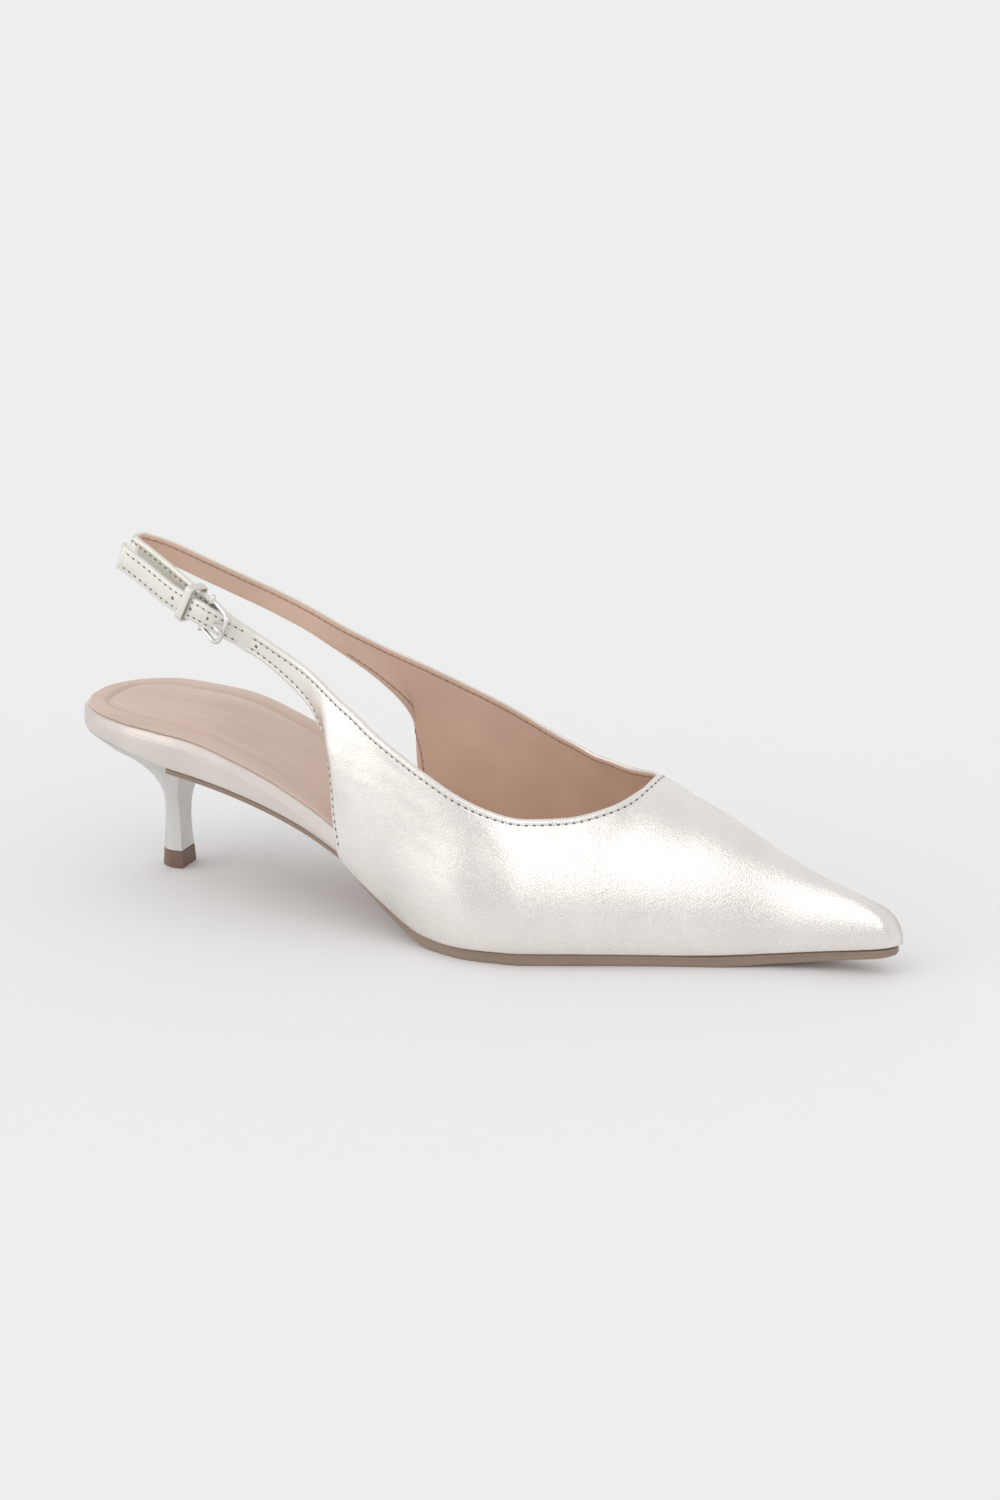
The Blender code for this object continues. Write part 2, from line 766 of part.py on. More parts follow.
def make_heel(silver, brown):
    loops = []
    top = HEEL[0][0] * SEAT_HEIGHT
    limit = (SOLE_START * LENGTH - GAP) / LENGTH
    seat = []
    round_end = 1 - HEEL_SHOULDER
    full = half_width(limit) - HEEL_INSET
    for x, y in heel_loop(0, 1, 1, 0):
        share = HEEL_BACK + (limit - HEEL_BACK) * x
        half = half_width(share) - HEEL_INSET
        reach = full
        if x <= round_end:
            reach = half / max(np.sqrt(1 - ((round_end - x) / round_end) ** 2), 0.2)
        across = np.clip(np.clip(y, -1, 1) * reach, -half, half)
        seat.append((share * LENGTH, centre_line(share) + across, board_under(share) - GAP / 2))
    loops.append(np.array(seat))
    for height, back, front, half, middle in HEEL:
        z = height * SEAT_HEIGHT
        loop = heel_loop(back * LENGTH, front * LENGTH, half * BALL_WIDTH, middle * BALL_WIDTH)
        tilt = (z / top) ** SEAT_TILT_POWER
        loops.append(np.array([(x, y, z + tilt * (SEAT_TILT_RISE - SEAT_TILT_SLOPE * x)) for x, y in loop]))
    made = tube_solid("heel", loops, silver)
    height, back, front, half, middle = HEEL[-1]
    tip = []
    for z, grow in ((height * SEAT_HEIGHT - GAP / 2, 0.0), (0.0, TIP_SPREAD)):
        loop = heel_loop(
            back * LENGTH - grow, front * LENGTH + grow, half * BALL_WIDTH + grow, middle * BALL_WIDTH
        )
        tip.append(np.array([(x, y, z) for x, y in loop]))
    tube_solid("heel_tip", tip, brown)
    return made


def make_upper(silver):
    outer = ring_lines()
    inner = outer - normals(outer) * WALL
    upper = ring_solid("upper", outer, inner, silver)
    tail = tail_solid(silver)
    cut_or_join(upper, tail, "UNION")
    return upper


def make_buckle(upper, steel, silver):
    place = buckle_place()
    ring_of_wire("buckle_frame", frame_path(), WIRE / 2, place, steel)
    long = (FRAME_LONG - WIRE) / 2
    rest = frame_level(long) + WIRE / 2 + GAP + PRONG / 2
    path = [
        (-long + WIRE / 2 + PRONG / 2 + GAP, 0, frame_level(-long)),
        (-long / 3, 0, frame_level(-long) + PRONG_LIFT),
        (long / 3, 0, rest - PRONG_DIP),
        (long - WIRE / 2, 0, rest),
        (long + WIRE / 2, 0, rest),
    ]
    loops = [placed(loop, place) for loop in swept(path, PRONG / 2, 10, False)]
    tube_solid("buckle_prong", loops, steel)
    box = []
    for x in (-SLOT_LONG / 2 - SLOT_BEHIND, SLOT_LONG / 2 + SLOT_AHEAD):
        corner = [
            (x, -SLOT_WIDE / 2, SLOT_CLEAR),
            (x, SLOT_WIDE / 2, SLOT_CLEAR),
            (x, SLOT_WIDE / 2, SLOT_REACH),
            (x, -SLOT_WIDE / 2, SLOT_REACH),
        ]
        box.append(placed(corner, place))
    cutter = tube_solid("slot_helper", box, steel)
    cut_or_join(upper, cutter, "DIFFERENCE")
    make_keeper(silver)


def make_keeper(silver):
    along, down, out = strap_axes(KEEPER_AT)
    top = top_point(KEEPER_AT, -1)
    reach = hermite(column(TAIL, 0), column(TAIL, 1), KEEPER_AT) * BALL_WIDTH
    drop = hermite(column(TAIL, 0), column(TAIL, 2), KEEPER_AT) * SEAT_HEIGHT
    inside = WALL + GAP
    outside = reach + GAP
    high = -GAP - KEEPER_ROOM
    low = STRAP_WIDTH + drop + GAP + KEEPER_ROOM
    window = [(high, -inside), (low, -inside), (low, outside), (high, outside)]
    thick = KEEPER_THICK
    rim = [(high - thick, -inside - thick), (low + thick, -inside - thick)]
    rim += [(low + thick, outside + thick), (high - thick, outside + thick)]
    points = []
    for reach_along in (-KEEPER_LONG / 2, KEEPER_LONG / 2):
        for w, n in [*window, *rim]:
            points.append(top + along * reach_along + down * w + out * n)
    faces = []
    for k in range(4):
        m = (k + 1) % 4
        faces.append((k, m, 8 + m, 8 + k))
        faces.append((4 + m, 4 + k, 12 + k, 12 + m))
        faces.append((m, k, 4 + k, 4 + m))
        faces.append((8 + k, 8 + m, 12 + m, 12 + k))
    solid("strap_keeper", points, faces, silver)


def set_origin():
    """Moves every mesh so that the origin is the middle of the shoe's box, on the floor."""
    shown = [obj for obj in bpy.data.objects if not obj.hide_render]
    points = np.array([vertex.co for obj in shown for vertex in obj.data.vertices])
    low = points.min(axis=0)
    high = points.max(axis=0)
    middle = (low + high) / 2
    for obj in bpy.data.objects:
        obj.data.transform(Matrix.Translation((-middle[0], -middle[1], -low[2])))


def main():
    clear_scene()
    silver = material("metallic_leather", (0.80, 0.76, 0.72), 0.85, 0.34)
    heel_silver = material("heel_cover", (0.72, 0.71, 0.68), 0.6, 0.4)
    beige = material("insole_leather", (0.62, 0.47, 0.37), 0.0, 0.6)
    brown = material("sole_brown", (0.24, 0.16, 0.12), 0.0, 0.6)
    steel = material("buckle_steel", (0.80, 0.79, 0.78), 1.0, 0.15)
    make_board(silver, beige)
    make_outsole(brown)
    make_heel(heel_silver, brown)
    upper = make_upper(silver)
    make_buckle(upper, steel, silver)
    set_origin()


main()
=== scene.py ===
"""Looks of the pointed slingback pump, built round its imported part.

Lengths are millimetres in the shoe's own frame (x from the back of the seat, y to the inner side, z up
from the floor) until each mesh is made, and then metres in the part's frame.
"""

import math

import bmesh
import bpy
import numpy as np
from mathutils import Matrix, Vector

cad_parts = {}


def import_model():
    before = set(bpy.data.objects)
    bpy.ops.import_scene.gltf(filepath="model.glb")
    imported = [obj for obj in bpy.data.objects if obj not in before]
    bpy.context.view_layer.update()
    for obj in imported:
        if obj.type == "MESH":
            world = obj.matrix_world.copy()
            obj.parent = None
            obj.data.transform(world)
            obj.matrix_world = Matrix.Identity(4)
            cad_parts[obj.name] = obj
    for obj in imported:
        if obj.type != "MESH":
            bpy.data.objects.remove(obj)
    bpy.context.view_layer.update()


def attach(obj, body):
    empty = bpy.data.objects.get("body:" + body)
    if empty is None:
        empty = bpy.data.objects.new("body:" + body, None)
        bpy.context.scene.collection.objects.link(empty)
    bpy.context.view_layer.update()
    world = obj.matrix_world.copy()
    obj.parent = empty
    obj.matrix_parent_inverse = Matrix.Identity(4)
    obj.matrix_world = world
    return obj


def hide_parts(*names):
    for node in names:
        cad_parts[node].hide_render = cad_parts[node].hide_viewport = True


MM = 0.001
ORIGIN = np.array([133.407, -2.629, 0.0])

# Named sizes of the shoe
LENGTH = 267.4
BALL_WIDTH = 74.2
SEAT_HEIGHT = 50.0
STRAP_WIDTH = 7.6
WALL = 1.6
GAP = 0.3
BULGE = 1.4
FEATHER_TUCK = 1.4
TUCK_RISE = 5.0
SEAT_ROUND = 0.112
TIP_ROUND = 0.022
BOARD_SHARE = 0.988
THROAT = 0.7082
TOE_ROUND = 0.974
TOE_END = 1.002
TOE_STAY = 9.0
TOE_STAY_FROM = 0.6
CORNER_ROW = 16
INNER_EDGE_LEAN = 0.0105
LEAN_HEIGHTS = (1.15, 1.45)
SOLE_START = 0.155
SOLE_END = 0.991
BUCKLE_AT = 0.2160
KEEPER_AT = 0.1790

PLAN = (
    # x, centre, half
    (0.000, 0.067, 0.331),
    (0.067, 0.055, 0.331),
    (0.112, 0.025, 0.335),
    (0.161, 0.000, 0.345),
    (0.232, -0.011, 0.340),
    (0.322, -0.027, 0.330),
    (0.374, -0.034, 0.344),
    (0.438, -0.040, 0.391),
    (0.494, -0.044, 0.455),
    (0.550, -0.042, 0.500),
    (0.595, -0.030, 0.495),
    (0.643, -0.019, 0.443),
    (0.699, -0.013, 0.364),
    (0.755, -0.009, 0.286),
    (0.808, -0.010, 0.213),
    (0.871, -0.009, 0.125),
    (0.931, -0.004, 0.078),
    (1.000, 0.004, 0.056),
)

PROFILE = (
    # x, top, under
    (0.000, 1.000, 0.874),
    (0.045, 1.002, 0.864),
    (0.082, 1.004, 0.852),
    (0.120, 1.006, 0.826),
    (0.161, 1.000, 0.796),
    (0.189, 0.980, 0.774),
    (0.234, 0.910, 0.724),
    (0.277, 0.828, 0.660),
    (0.322, 0.716, 0.574),
    (0.357, 0.622, 0.492),
    (0.376, 0.566, 0.440),
    (0.394, 0.514, 0.362),
    (0.433, 0.396, 0.218),
    (0.464, 0.300, 0.132),
    (0.494, 0.220, 0.082),
    (0.524, 0.166, 0.070),
    (0.550, 0.142, 0.072),
    (0.650, 0.132, 0.074),
    (0.790, 0.128, 0.068),
    (0.871, 0.152, 0.094),
    (0.931, 0.186, 0.130),
    (1.000, 0.228, 0.178),
)

RIDGE = (
    # x, height
    (0.7082, 0.995),
    (0.730, 0.952),
    (0.749, 0.902),
    (0.786, 0.826),
    (0.815, 0.750),
    (0.879, 0.574),
    (0.908, 0.514),
    (0.940, 0.456),
    (0.974, 0.404),
    (1.002, 0.378),
)

CROWN_POWER = (
    # x, power of the section's curve
    (0.50, 2.4),
    (0.62, 2.3),
    (0.71, 2.0),
    (0.85, 1.95),
    (1.00, 2.2),
)

DRAWN_IN = (
    # x, how far the upper and the board under it are drawn in from the plan
    (0.385, 0.0),
    (0.470, 1.5),
    (1.000, 1.5),
)

SOLE_THICK = (
    # x, thickness
    (0.40, 1.5),
    (0.52, 3.6),
    (0.72, 3.6),
    (0.85, 3.25),
    (1.00, 2.3),
)

SOLE_EDGE = (
    # x, how far the edge stands in from the board's plan
    (0.36, 0.4),
    (0.47, 0.6),
    (1.00, 0.0),
)

BAND = (
    # top x, top half gap, top z, low x, low z, low half gap
    (0.0740, 0.000, 2.104, 0.0621, 1.966, 0.000),
    (0.0775, 0.032, 2.104, 0.0656, 1.966, 0.032),
    (0.0880, 0.056, 2.088, 0.0761, 1.950, 0.056),
    (0.1020, 0.076, 2.062, 0.0900, 1.924, 0.076),
    (0.1197, 0.097, 2.022, 0.1077, 1.884, 0.097),
    (0.1571, 0.137, 1.928, 0.1451, 1.790, 0.137),
    (0.1945, 0.178, 1.834, 0.1825, 1.696, 0.178),
    (0.2319, 0.218, 1.740, 0.2206, 1.600, 0.214),
    (0.2693, 0.237, 1.650, 0.2635, 1.500, 0.225),
    (0.3029, 0.247, 1.568, 0.3050, 1.366, 0.243),
    (0.3180, 0.255, 1.532, 0.3300, 1.262, 0.263),
    (0.3290, 0.265, 1.505, 0.3480, 1.146, 0.294),
    (0.3380, 0.275, 1.482, 0.3600, 1.060, 0.321),
    (0.3460, 0.285, 1.462, 0.3680, 0.940, 0.352),
    (0.3540, 0.296, 1.440, 0.3715, 0.800, 0.372),
    (0.3620, 0.308, 1.420, 0.3740, 0.650, 0.384),
    (0.3740, 0.326, 1.388, 0.3800, None, None),
    (0.4000, 0.362, 1.322, 0.4050, None, None),
    (0.4190, 0.388, 1.264, 0.4300, None, None),
    (0.4560, 0.428, 1.172, 0.4790, None, None),
    (0.4940, 0.454, 1.080, 0.5280, None, None),
    (0.5310, 0.463, 0.988, 0.5770, None, None),
    (0.5680, 0.454, 0.914, 0.6290, None, None),
    (0.6060, 0.411, 0.868, 0.6900, None, None),
    (0.6430, 0.341, 0.866, 0.7680, None, None),
    (0.6790, 0.248, 0.902, 0.8700, None, None),
    (0.6965, 0.170, 0.938, 0.9380, None, None),
    (0.7040, 0.095, 0.966, 0.9740, None, None),
    (0.7072, 0.045, 0.985, 0.9910, None, None),
    (0.7082, 0.000, 0.995, 1.0020, None, None),
)
LAST_ROW = len(BAND) - 1

TOP_CENTRE = (
    # x, offset
    (0.000, 0.000),
    (0.232, 0.000),
    (0.381, -0.013),
    (0.531, -0.024),
    (0.643, -0.013),
    (0.7082, 0.000),
    (1.000, 0.004),
)

TAIL = (
    # x, outwards, drop, thickness, narrowing
    (0.0720, 0.092, 0.026, 1.4, 0.0),
    (0.1085, 0.070, 0.046, 1.4, 0.0),
    (0.1420, 0.060, 0.056, 1.4, 0.0),
    (0.1735, 0.056, 0.036, 1.4, 0.0),
    (0.1980, 0.052, 0.008, 1.4, 0.2),
    (0.2200, 0.030, 0.000, 1.4, 0.3),
    (0.2400, 0.006, 0.000, 1.4, 0.2),
    (0.2580, 0.000, 0.000, 1.3, 0.0),
    (0.2700, -0.008, 0.000, 0.5, 0.5),
)

HEEL = (
    # z, back, front, half width, centre line
    (0.790, 0.0350, 0.1520, 0.270, 0.024),
    (0.740, 0.0540, 0.1490, 0.216, 0.016),
    (0.690, 0.0740, 0.1456, 0.182, 0.008),
    (0.640, 0.0870, 0.1422, 0.151, 0.000),
    (0.585, 0.0978, 0.1385, 0.126, -0.007),
    (0.530, 0.1040, 0.1352, 0.102, -0.013),
    (0.470, 0.1072, 0.1322, 0.077, -0.018),
    (0.400, 0.1076, 0.1314, 0.061, -0.020),
    (0.290, 0.1064, 0.1316, 0.053, -0.021),
    (0.190, 0.1052, 0.1324, 0.055, -0.021),
    (0.116, 0.1040, 0.1334, 0.060, -0.021),
)


# ---------------------------------------------------------------- curves


def column(table, number):
    return np.array([row[number] for row in table], float)


def hermite(x, y, at):
    """Monotone cubic curve through the points."""
    x = np.asarray(x, float)
    y = np.asarray(y, float)
    step = np.diff(x)
    rise = np.diff(y) / step
    slope = np.empty_like(y)
    slope[0] = rise[0]
    slope[-1] = rise[-1]
    for i in range(1, len(x) - 1):
        if rise[i - 1] * rise[i] <= 0:
            slope[i] = 0
            continue
        first = 2 * step[i] + step[i - 1]
        last = step[i] + 2 * step[i - 1]
        slope[i] = (first + last) / (first / rise[i - 1] + last / rise[i])
    at = np.clip(at, x[0], x[-1])
    i = np.clip(np.searchsorted(x, at, side="right") - 1, 0, len(x) - 2)
    t = (at - x[i]) / step[i]
    return (
        y[i] * (1 + 2 * t) * (1 - t) ** 2
        + slope[i] * step[i] * t * (1 - t) ** 2
        + y[i + 1] * t**2 * (3 - 2 * t)
        + slope[i + 1] * step[i] * t**2 * (t - 1)
    )


def smooth(table, number, share, unit=1.0):
    return hermite(column(table, 0), column(table, number), share) * unit


def ramp(value, low, high):
    """0 below low, 1 above high, smooth between."""
    t = np.clip((value - low) / (high - low), 0, 1)
    return t * t * (3 - 2 * t)


def hump(value, middle, width):
    return np.exp(-(((value - middle) / width) ** 2))


def board_top(share):
    return smooth(PROFILE, 1, share, SEAT_HEIGHT)


def board_under(share):
    return smooth(PROFILE, 2, share, SEAT_HEIGHT)


def centre_line(share):
    return smooth(PLAN, 1, share, BALL_WIDTH)


def toe_round(share):
    front = np.clip((share - TOE_ROUND) / (TOE_END - TOE_ROUND), 0, 1)
    return np.sqrt(1 - front**2)


def upper_half(share):
    added = WALL + GAP + BULGE - smooth(DRAWN_IN, 1, share)
    return (smooth(PLAN, 2, share, BALL_WIDTH) + added) * toe_round(share)


def top_edge(share):
    gap = hermite(column(BAND, 0), column(BAND, 1), share) * BALL_WIDTH
    height = hermite(column(BAND, 0), column(BAND, 2), share) * SEAT_HEIGHT
    return gap, height


def crown(share):
    half = upper_half(share)
    power = smooth(CROWN_POWER, 1, share)
    base = board_under(share)
    gap, height = top_edge(share)
    cut = np.clip(1 - np.clip(gap / np.maximum(half, 0.01), 0, 0.999) ** power, 1e-6, 1)
    behind = (height - base) / cut ** (1 / power)
    front = (smooth(RIDGE, 1, share, SEAT_HEIGHT) - base) * toe_round(share)
    return np.where(share >= THROAT, front, behind)


def upper_points(share, angle, side):
    """Points of the outside of the upper: angle 0 is the feather line, a right angle the ridge."""
    power = smooth(CROWN_POWER, 1, share)
    base = board_under(share)
    out = np.maximum(np.cos(angle), 0.0) ** (2 / power)
    rise = np.maximum(np.sin(angle), 0.0) ** (2 / power) * crown(share)
    limit = np.where(
        share < THROAT,
        top_edge(np.minimum(share, THROAT))[1],
        smooth(RIDGE, 1, share, SEAT_HEIGHT),
    )
    part = np.clip(rise / np.maximum(limit - base, 1.0), 0, 1)
    middle = (1 - part) * centre_line(share) + part * smooth(TOP_CENTRE, 1, share, BALL_WIDTH)
    tuck = FEATHER_TUCK * np.exp(-rise / TUCK_RISE)
    width = np.maximum(upper_half(share) * out - tuck * out, 0.0)
    forward = share * LENGTH - tuck * hermite([0.95, 1.0], [0.0, 1.0], share)
    return np.stack([forward, middle + side * width, base + rise], axis=-1)


def edge_angle(share):
    gap = top_edge(share)[0]
    half = upper_half(share)
    return np.arccos(np.clip((gap / half) ** (smooth(CROWN_POWER, 1, share) / 2), 0, 1))


def top_point(share, side):
    gap, height = top_edge(share)
    middle = smooth(TOP_CENTRE, 1, share, BALL_WIDTH)
    return np.array([share * LENGTH, middle + side * gap, height])


def low_point(position, side):
    """A point of the low edge where the band stands clear of the sole."""
    rows = np.arange(CORNER_ROW + 1)
    foot_x = BAND[CORNER_ROW][3]
    foot = upper_points(np.array([foot_x + INNER_EDGE_LEAN * (side > 0)]), np.zeros(1), side)[0]
    foot_half = abs(foot[1] - smooth(TOP_CENTRE, 1, foot_x, BALL_WIDTH)) / BALL_WIDTH
    heights = [row[4] for row in BAND[:CORNER_ROW]] + [foot[2] / SEAT_HEIGHT]
    halves = [row[5] for row in BAND[:CORNER_ROW]] + [foot_half]
    height = hermite(rows, heights, position) * SEAT_HEIGHT
    half = hermite(rows, halves, position) * BALL_WIDTH
    low = hermite(np.arange(len(BAND)), column(BAND, 3), position)
    lean_low, lean_high = LEAN_HEIGHTS
    lean = np.clip((lean_high * SEAT_HEIGHT - height) / ((lean_high - lean_low) * SEAT_HEIGHT), 0, 1)
    low = low + INNER_EDGE_LEAN * (side > 0) * lean
    return np.array([low * LENGTH, smooth(TOP_CENTRE, 1, low, BALL_WIDTH) + side * half, height])


SAMPLES = 240
CORNER_LINES = {}


def side_line(position, side):
    """A dense line of the band from its top edge to its low edge."""
    rows = np.arange(len(BAND))
    top = float(hermite(rows, column(BAND, 0), position))
    low = float(hermite(rows, column(BAND, 3), position))
    steps = np.linspace(0, 1, SAMPLES + 1)
    if position >= CORNER_ROW:
        low += INNER_EDGE_LEAN * (side > 0) * max(0.0, 1 - (position - CORNER_ROW) / 4)
        power = 1 + TOE_STAY * max(0.0, (low - TOE_STAY_FROM) / (1 - TOE_STAY_FROM)) ** 3
        falls = 1 - steps**power if low < TOE_END - 1e-6 else np.ones(SAMPLES + 1)
        return upper_points(top + (low - top) * steps, edge_angle(top) * falls, side)
    start = top_point(top, side)
    end = low_point(position, side)
    corner = corner_line(side)
    chord = corner[-1] - corner[0]
    r = steps[:, None]
    belly = corner - corner[0] - chord * r
    scale = (np.linalg.norm(end - start) / np.linalg.norm(chord)) ** 2
    return start + (end - start) * r + belly * scale


def corner_line(side):
    if side not in CORNER_LINES:
        CORNER_LINES[side] = side_line(float(CORNER_ROW), side)
    return CORNER_LINES[side]


# ---------------------------------------------------------------- meshes


def to_part(points):
    return (np.asarray(points, float) - ORIGIN) * MM


def make_object(name, points, faces, material, sharp=None, closed=True):
    """A mesh from points in the shoe's frame, with faces as rows of numbers."""
    mesh = bpy.data.meshes.new(name)
    mesh.from_pydata(to_part(points).tolist(), [], [tuple(f) for f in faces])
    if closed:
        shell = bmesh.new()
        shell.from_mesh(mesh)
        bmesh.ops.recalc_face_normals(shell, faces=shell.faces)
        shell.to_mesh(mesh)
        shell.free()
    mesh.materials.append(material)
    mesh.polygons.foreach_set("use_smooth", [True] * len(mesh.polygons))
    if sharp is not None:
        mesh.set_sharp_from_angle(angle=math.radians(sharp))
    mesh.update()
    obj = bpy.data.objects.new(name, mesh)
    bpy.context.scene.collection.objects.link(obj)
    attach(obj, "root")
    return obj


def grid_faces(rows, columns, closed_rows=False, closed_columns=False, start=0, flip=False):
    """Faces of a grid of rows times columns."""
    faces = []
    for i in range(rows if closed_rows else rows - 1):
        k = (i + 1) % rows
        for j in range(columns if closed_columns else columns - 1):
            m = (j + 1) % columns
            face = (
                start + i * columns + j,
                start + k * columns + j,
                start + k * columns + m,
                start + i * columns + m,
            )
            faces.append(face[::-1] if flip else face)
    return faces


def tube_faces(rings, count):
    """Faces of a closed body through rings of points, both ends capped."""
    faces = grid_faces(rings, count, closed_columns=True)
    faces.append(tuple(range(count))[::-1])
    faces.append(tuple((rings - 1) * count + j for j in range(count)))
    return faces


def rounded(corners, radius, steps, backwards=False):
    """Points round corners, each given as its centre and the quarter in which its arc starts."""
    points = []
    for a, b, quarter in corners:
        for share in np.arange(steps) / (steps - 1):
            turn = np.pi / 2 * (quarter + (1 - share if backwards else share))
            points.append((a + radius * np.cos(turn), b + radius * np.sin(turn)))
    return points


def unit(vectors):
    return vectors / np.maximum(np.linalg.norm(vectors, axis=-1, keepdims=True), 1e-9)


def resample(line, distances):
    """Points of a line at given arc lengths."""
    reach = np.concatenate([[0], np.cumsum(np.linalg.norm(np.diff(line, axis=0), axis=1))])
    return np.stack([np.interp(distances, reach, line[:, k]) for k in range(3)], axis=1)


def length_of(line):
    return float(np.linalg.norm(np.diff(line, axis=0), axis=1).sum())


# ---------------------------------------------------------------- upper

SOCK_INSET = 1.75
EDGE_STEPS = (0.0, 0.06, 0.18, 0.36, 0.58, 0.85, 1.15, 1.45, 1.7, 1.95, 2.2, 2.5, 2.9, 3.4)
STITCH_ROW = EDGE_STEPS.index(1.95)
LINING_START = 2
MIDDLE_ROWS = 54
COLUMNS = 230
ROUND = WALL / 2
BELLY = 1.8
FINE = 700
SHEAR = 4.5


def side_surface(side):
    """A dense table of one side: rows go along the band, columns from its top to its low edge."""
    return np.array([side_line(float(p), side) for p in np.linspace(0, LAST_ROW, FINE)])


def top_place(low):
    """Position on the top edge that a line from a position on the low edge leads to."""
    ahead = (LAST_ROW - low) / (LAST_ROW - CORNER_ROW)
    return low + SHEAR * np.where(low < CORNER_ROW, ramp(low, 8, CORNER_ROW), ahead)


def on_table(table, place, share):
    """Points of the table at positions along its rows and columns."""
    i = np.clip(place / LAST_ROW * (FINE - 1), 0, FINE - 1.001)
    j = np.clip(share * SAMPLES, 0, SAMPLES - 0.001)
    i0, j0 = i.astype(int), j.astype(int)
    a, b = (i - i0)[:, None], (j - j0)[:, None]
    near = table[i0, j0] * (1 - b) + table[i0, j0 + 1] * b
    far = table[i0 + 1, j0] * (1 - b) + table[i0 + 1, j0 + 1] * b
    return near * (1 - a) + far * a


def slanted_line(table, low):
    """A line from the top to the low edge that meets both at an open angle."""
    share = np.linspace(0, 1, SAMPLES + 1)
    top = float(top_place(np.array(low)))
    return on_table(table, top + (low - top) * share, share)


def band_places(table):
    """Positions on the low edge, evenly spread over both edges."""
    fine = np.linspace(0, LAST_ROW, FINE)
    top = on_table(table, top_place(fine), 0 * fine)
    low = table[:, -1]
    steps, low_steps = (np.linalg.norm(np.diff(edge, axis=0), axis=1) for edge in (top, low))
    reach = steps + 0.8 * low_steps + 0.02 + 0.1 * ramp(fine[1:], LAST_ROW - 4, LAST_ROW)
    whole = np.concatenate([[0], np.cumsum(reach)])
    return np.interp(np.linspace(0, whole[-1], COLUMNS + 1), whole, fine)


def distance_to(points, line):
    """Distance of each point to a line of segments."""
    start = line[:-1]
    way = line[1:] - start
    whole = np.maximum((way**2).sum(axis=1), 1e-12)
    off = points[:, None] - start[None]
    t = np.clip((off * way).sum(axis=2) / whole, 0, 1)
    return np.sqrt(((off - t[..., None] * way) ** 2).sum(axis=2)).min(axis=1)


def rows_from_edge(line, edge, steps):
    """Arc lengths along a line at which its distance to an edge reaches each step."""
    reach = min(length_of(line) / 2, 9.0)
    arc = np.linspace(0, reach, 37)
    away = np.maximum.accumulate(distance_to(resample(line, arc), edge))
    away = away + np.linspace(0, 1e-6, len(away))
    return np.interp(steps, away, arc)


def band_grid():
    """Outside of the upper as a closed grid, its distances from both edges, places and sides."""
    sides = []
    for side in (1, -1):
        table = side_surface(side)
        top = table[:, 0]
        low = table[:, -1]
        places = band_places(table)
        lines = []
        tops = []
        lows = []
        for place in places:
            line = slanted_line(table, float(place))
            whole = length_of(line)
            squeeze = min(1.0, whole / (2 * EDGE_STEPS[-1] + 0.6))
            steps = np.array(EDGE_STEPS) * squeeze
            above = rows_from_edge(line, top, steps)
            below = whole - rows_from_edge(line[::-1], low, steps)
            squash = min(1.0, (0.5 * whole - 0.2 * squeeze) / max(above[-1], whole - below[-1]))
            above = above * squash
            below = whole - (whole - below) * squash
            middle = np.linspace(above[-1], below[-1], MIDDLE_ROWS + 2)[1:-1]
            distances = np.concatenate([above, middle, below[::-1]])
            lines.append(resample(line, distances))
            inside = np.linspace(steps[-1], steps[-1] + middle[-1] - above[-1], MIDDLE_ROWS + 2)[1:-1]
            tops.append(np.concatenate([steps, inside, inside[-1] + steps[-1] - steps[::-1]]))
            lows.append(tops[-1][::-1].copy())
        sides.append((np.array(lines), np.array(tops), np.array(lows), places))
    grid, tops, lows, where = (np.concatenate([a, b[-2:0:-1]]) for a, b in zip(*sides))
    side = np.concatenate([np.ones(COLUMNS + 1), -np.ones(COLUMNS - 1)])
    soften = hump(where, CORNER_ROW, 3.0)[:, None] * ramp(lows, 2.0, 9.0) * ramp(tops, 1.5, 6.0)
    soften = np.maximum(soften, hump(where, 24.5, 2.2)[:, None])
    soften = np.maximum(soften, (side * hump(where, 13.8, 3.0))[:, None])
    for _ in range(40):
        mean = (np.roll(grid, 1, axis=0) + np.roll(grid, -1, axis=0)) / 2
        grid = grid + 0.5 * soften[..., None] * (mean - grid)
    return grid, tops, lows, where, side


def grid_normals(grid):
    """Unit normals of a grid that is closed along its rows."""
    along = np.roll(grid, -1, axis=0) - np.roll(grid, 1, axis=0)
    across = np.gradient(grid, axis=1)
    return unit(np.cross(along, across))


def edge_turn(distance):
    """How far the rounded edge falls back from the outer face at a distance from the edge."""
    near = np.clip(ROUND - distance, 0, ROUND)
    return ROUND - np.sqrt(np.maximum(ROUND**2 - near**2, 0))


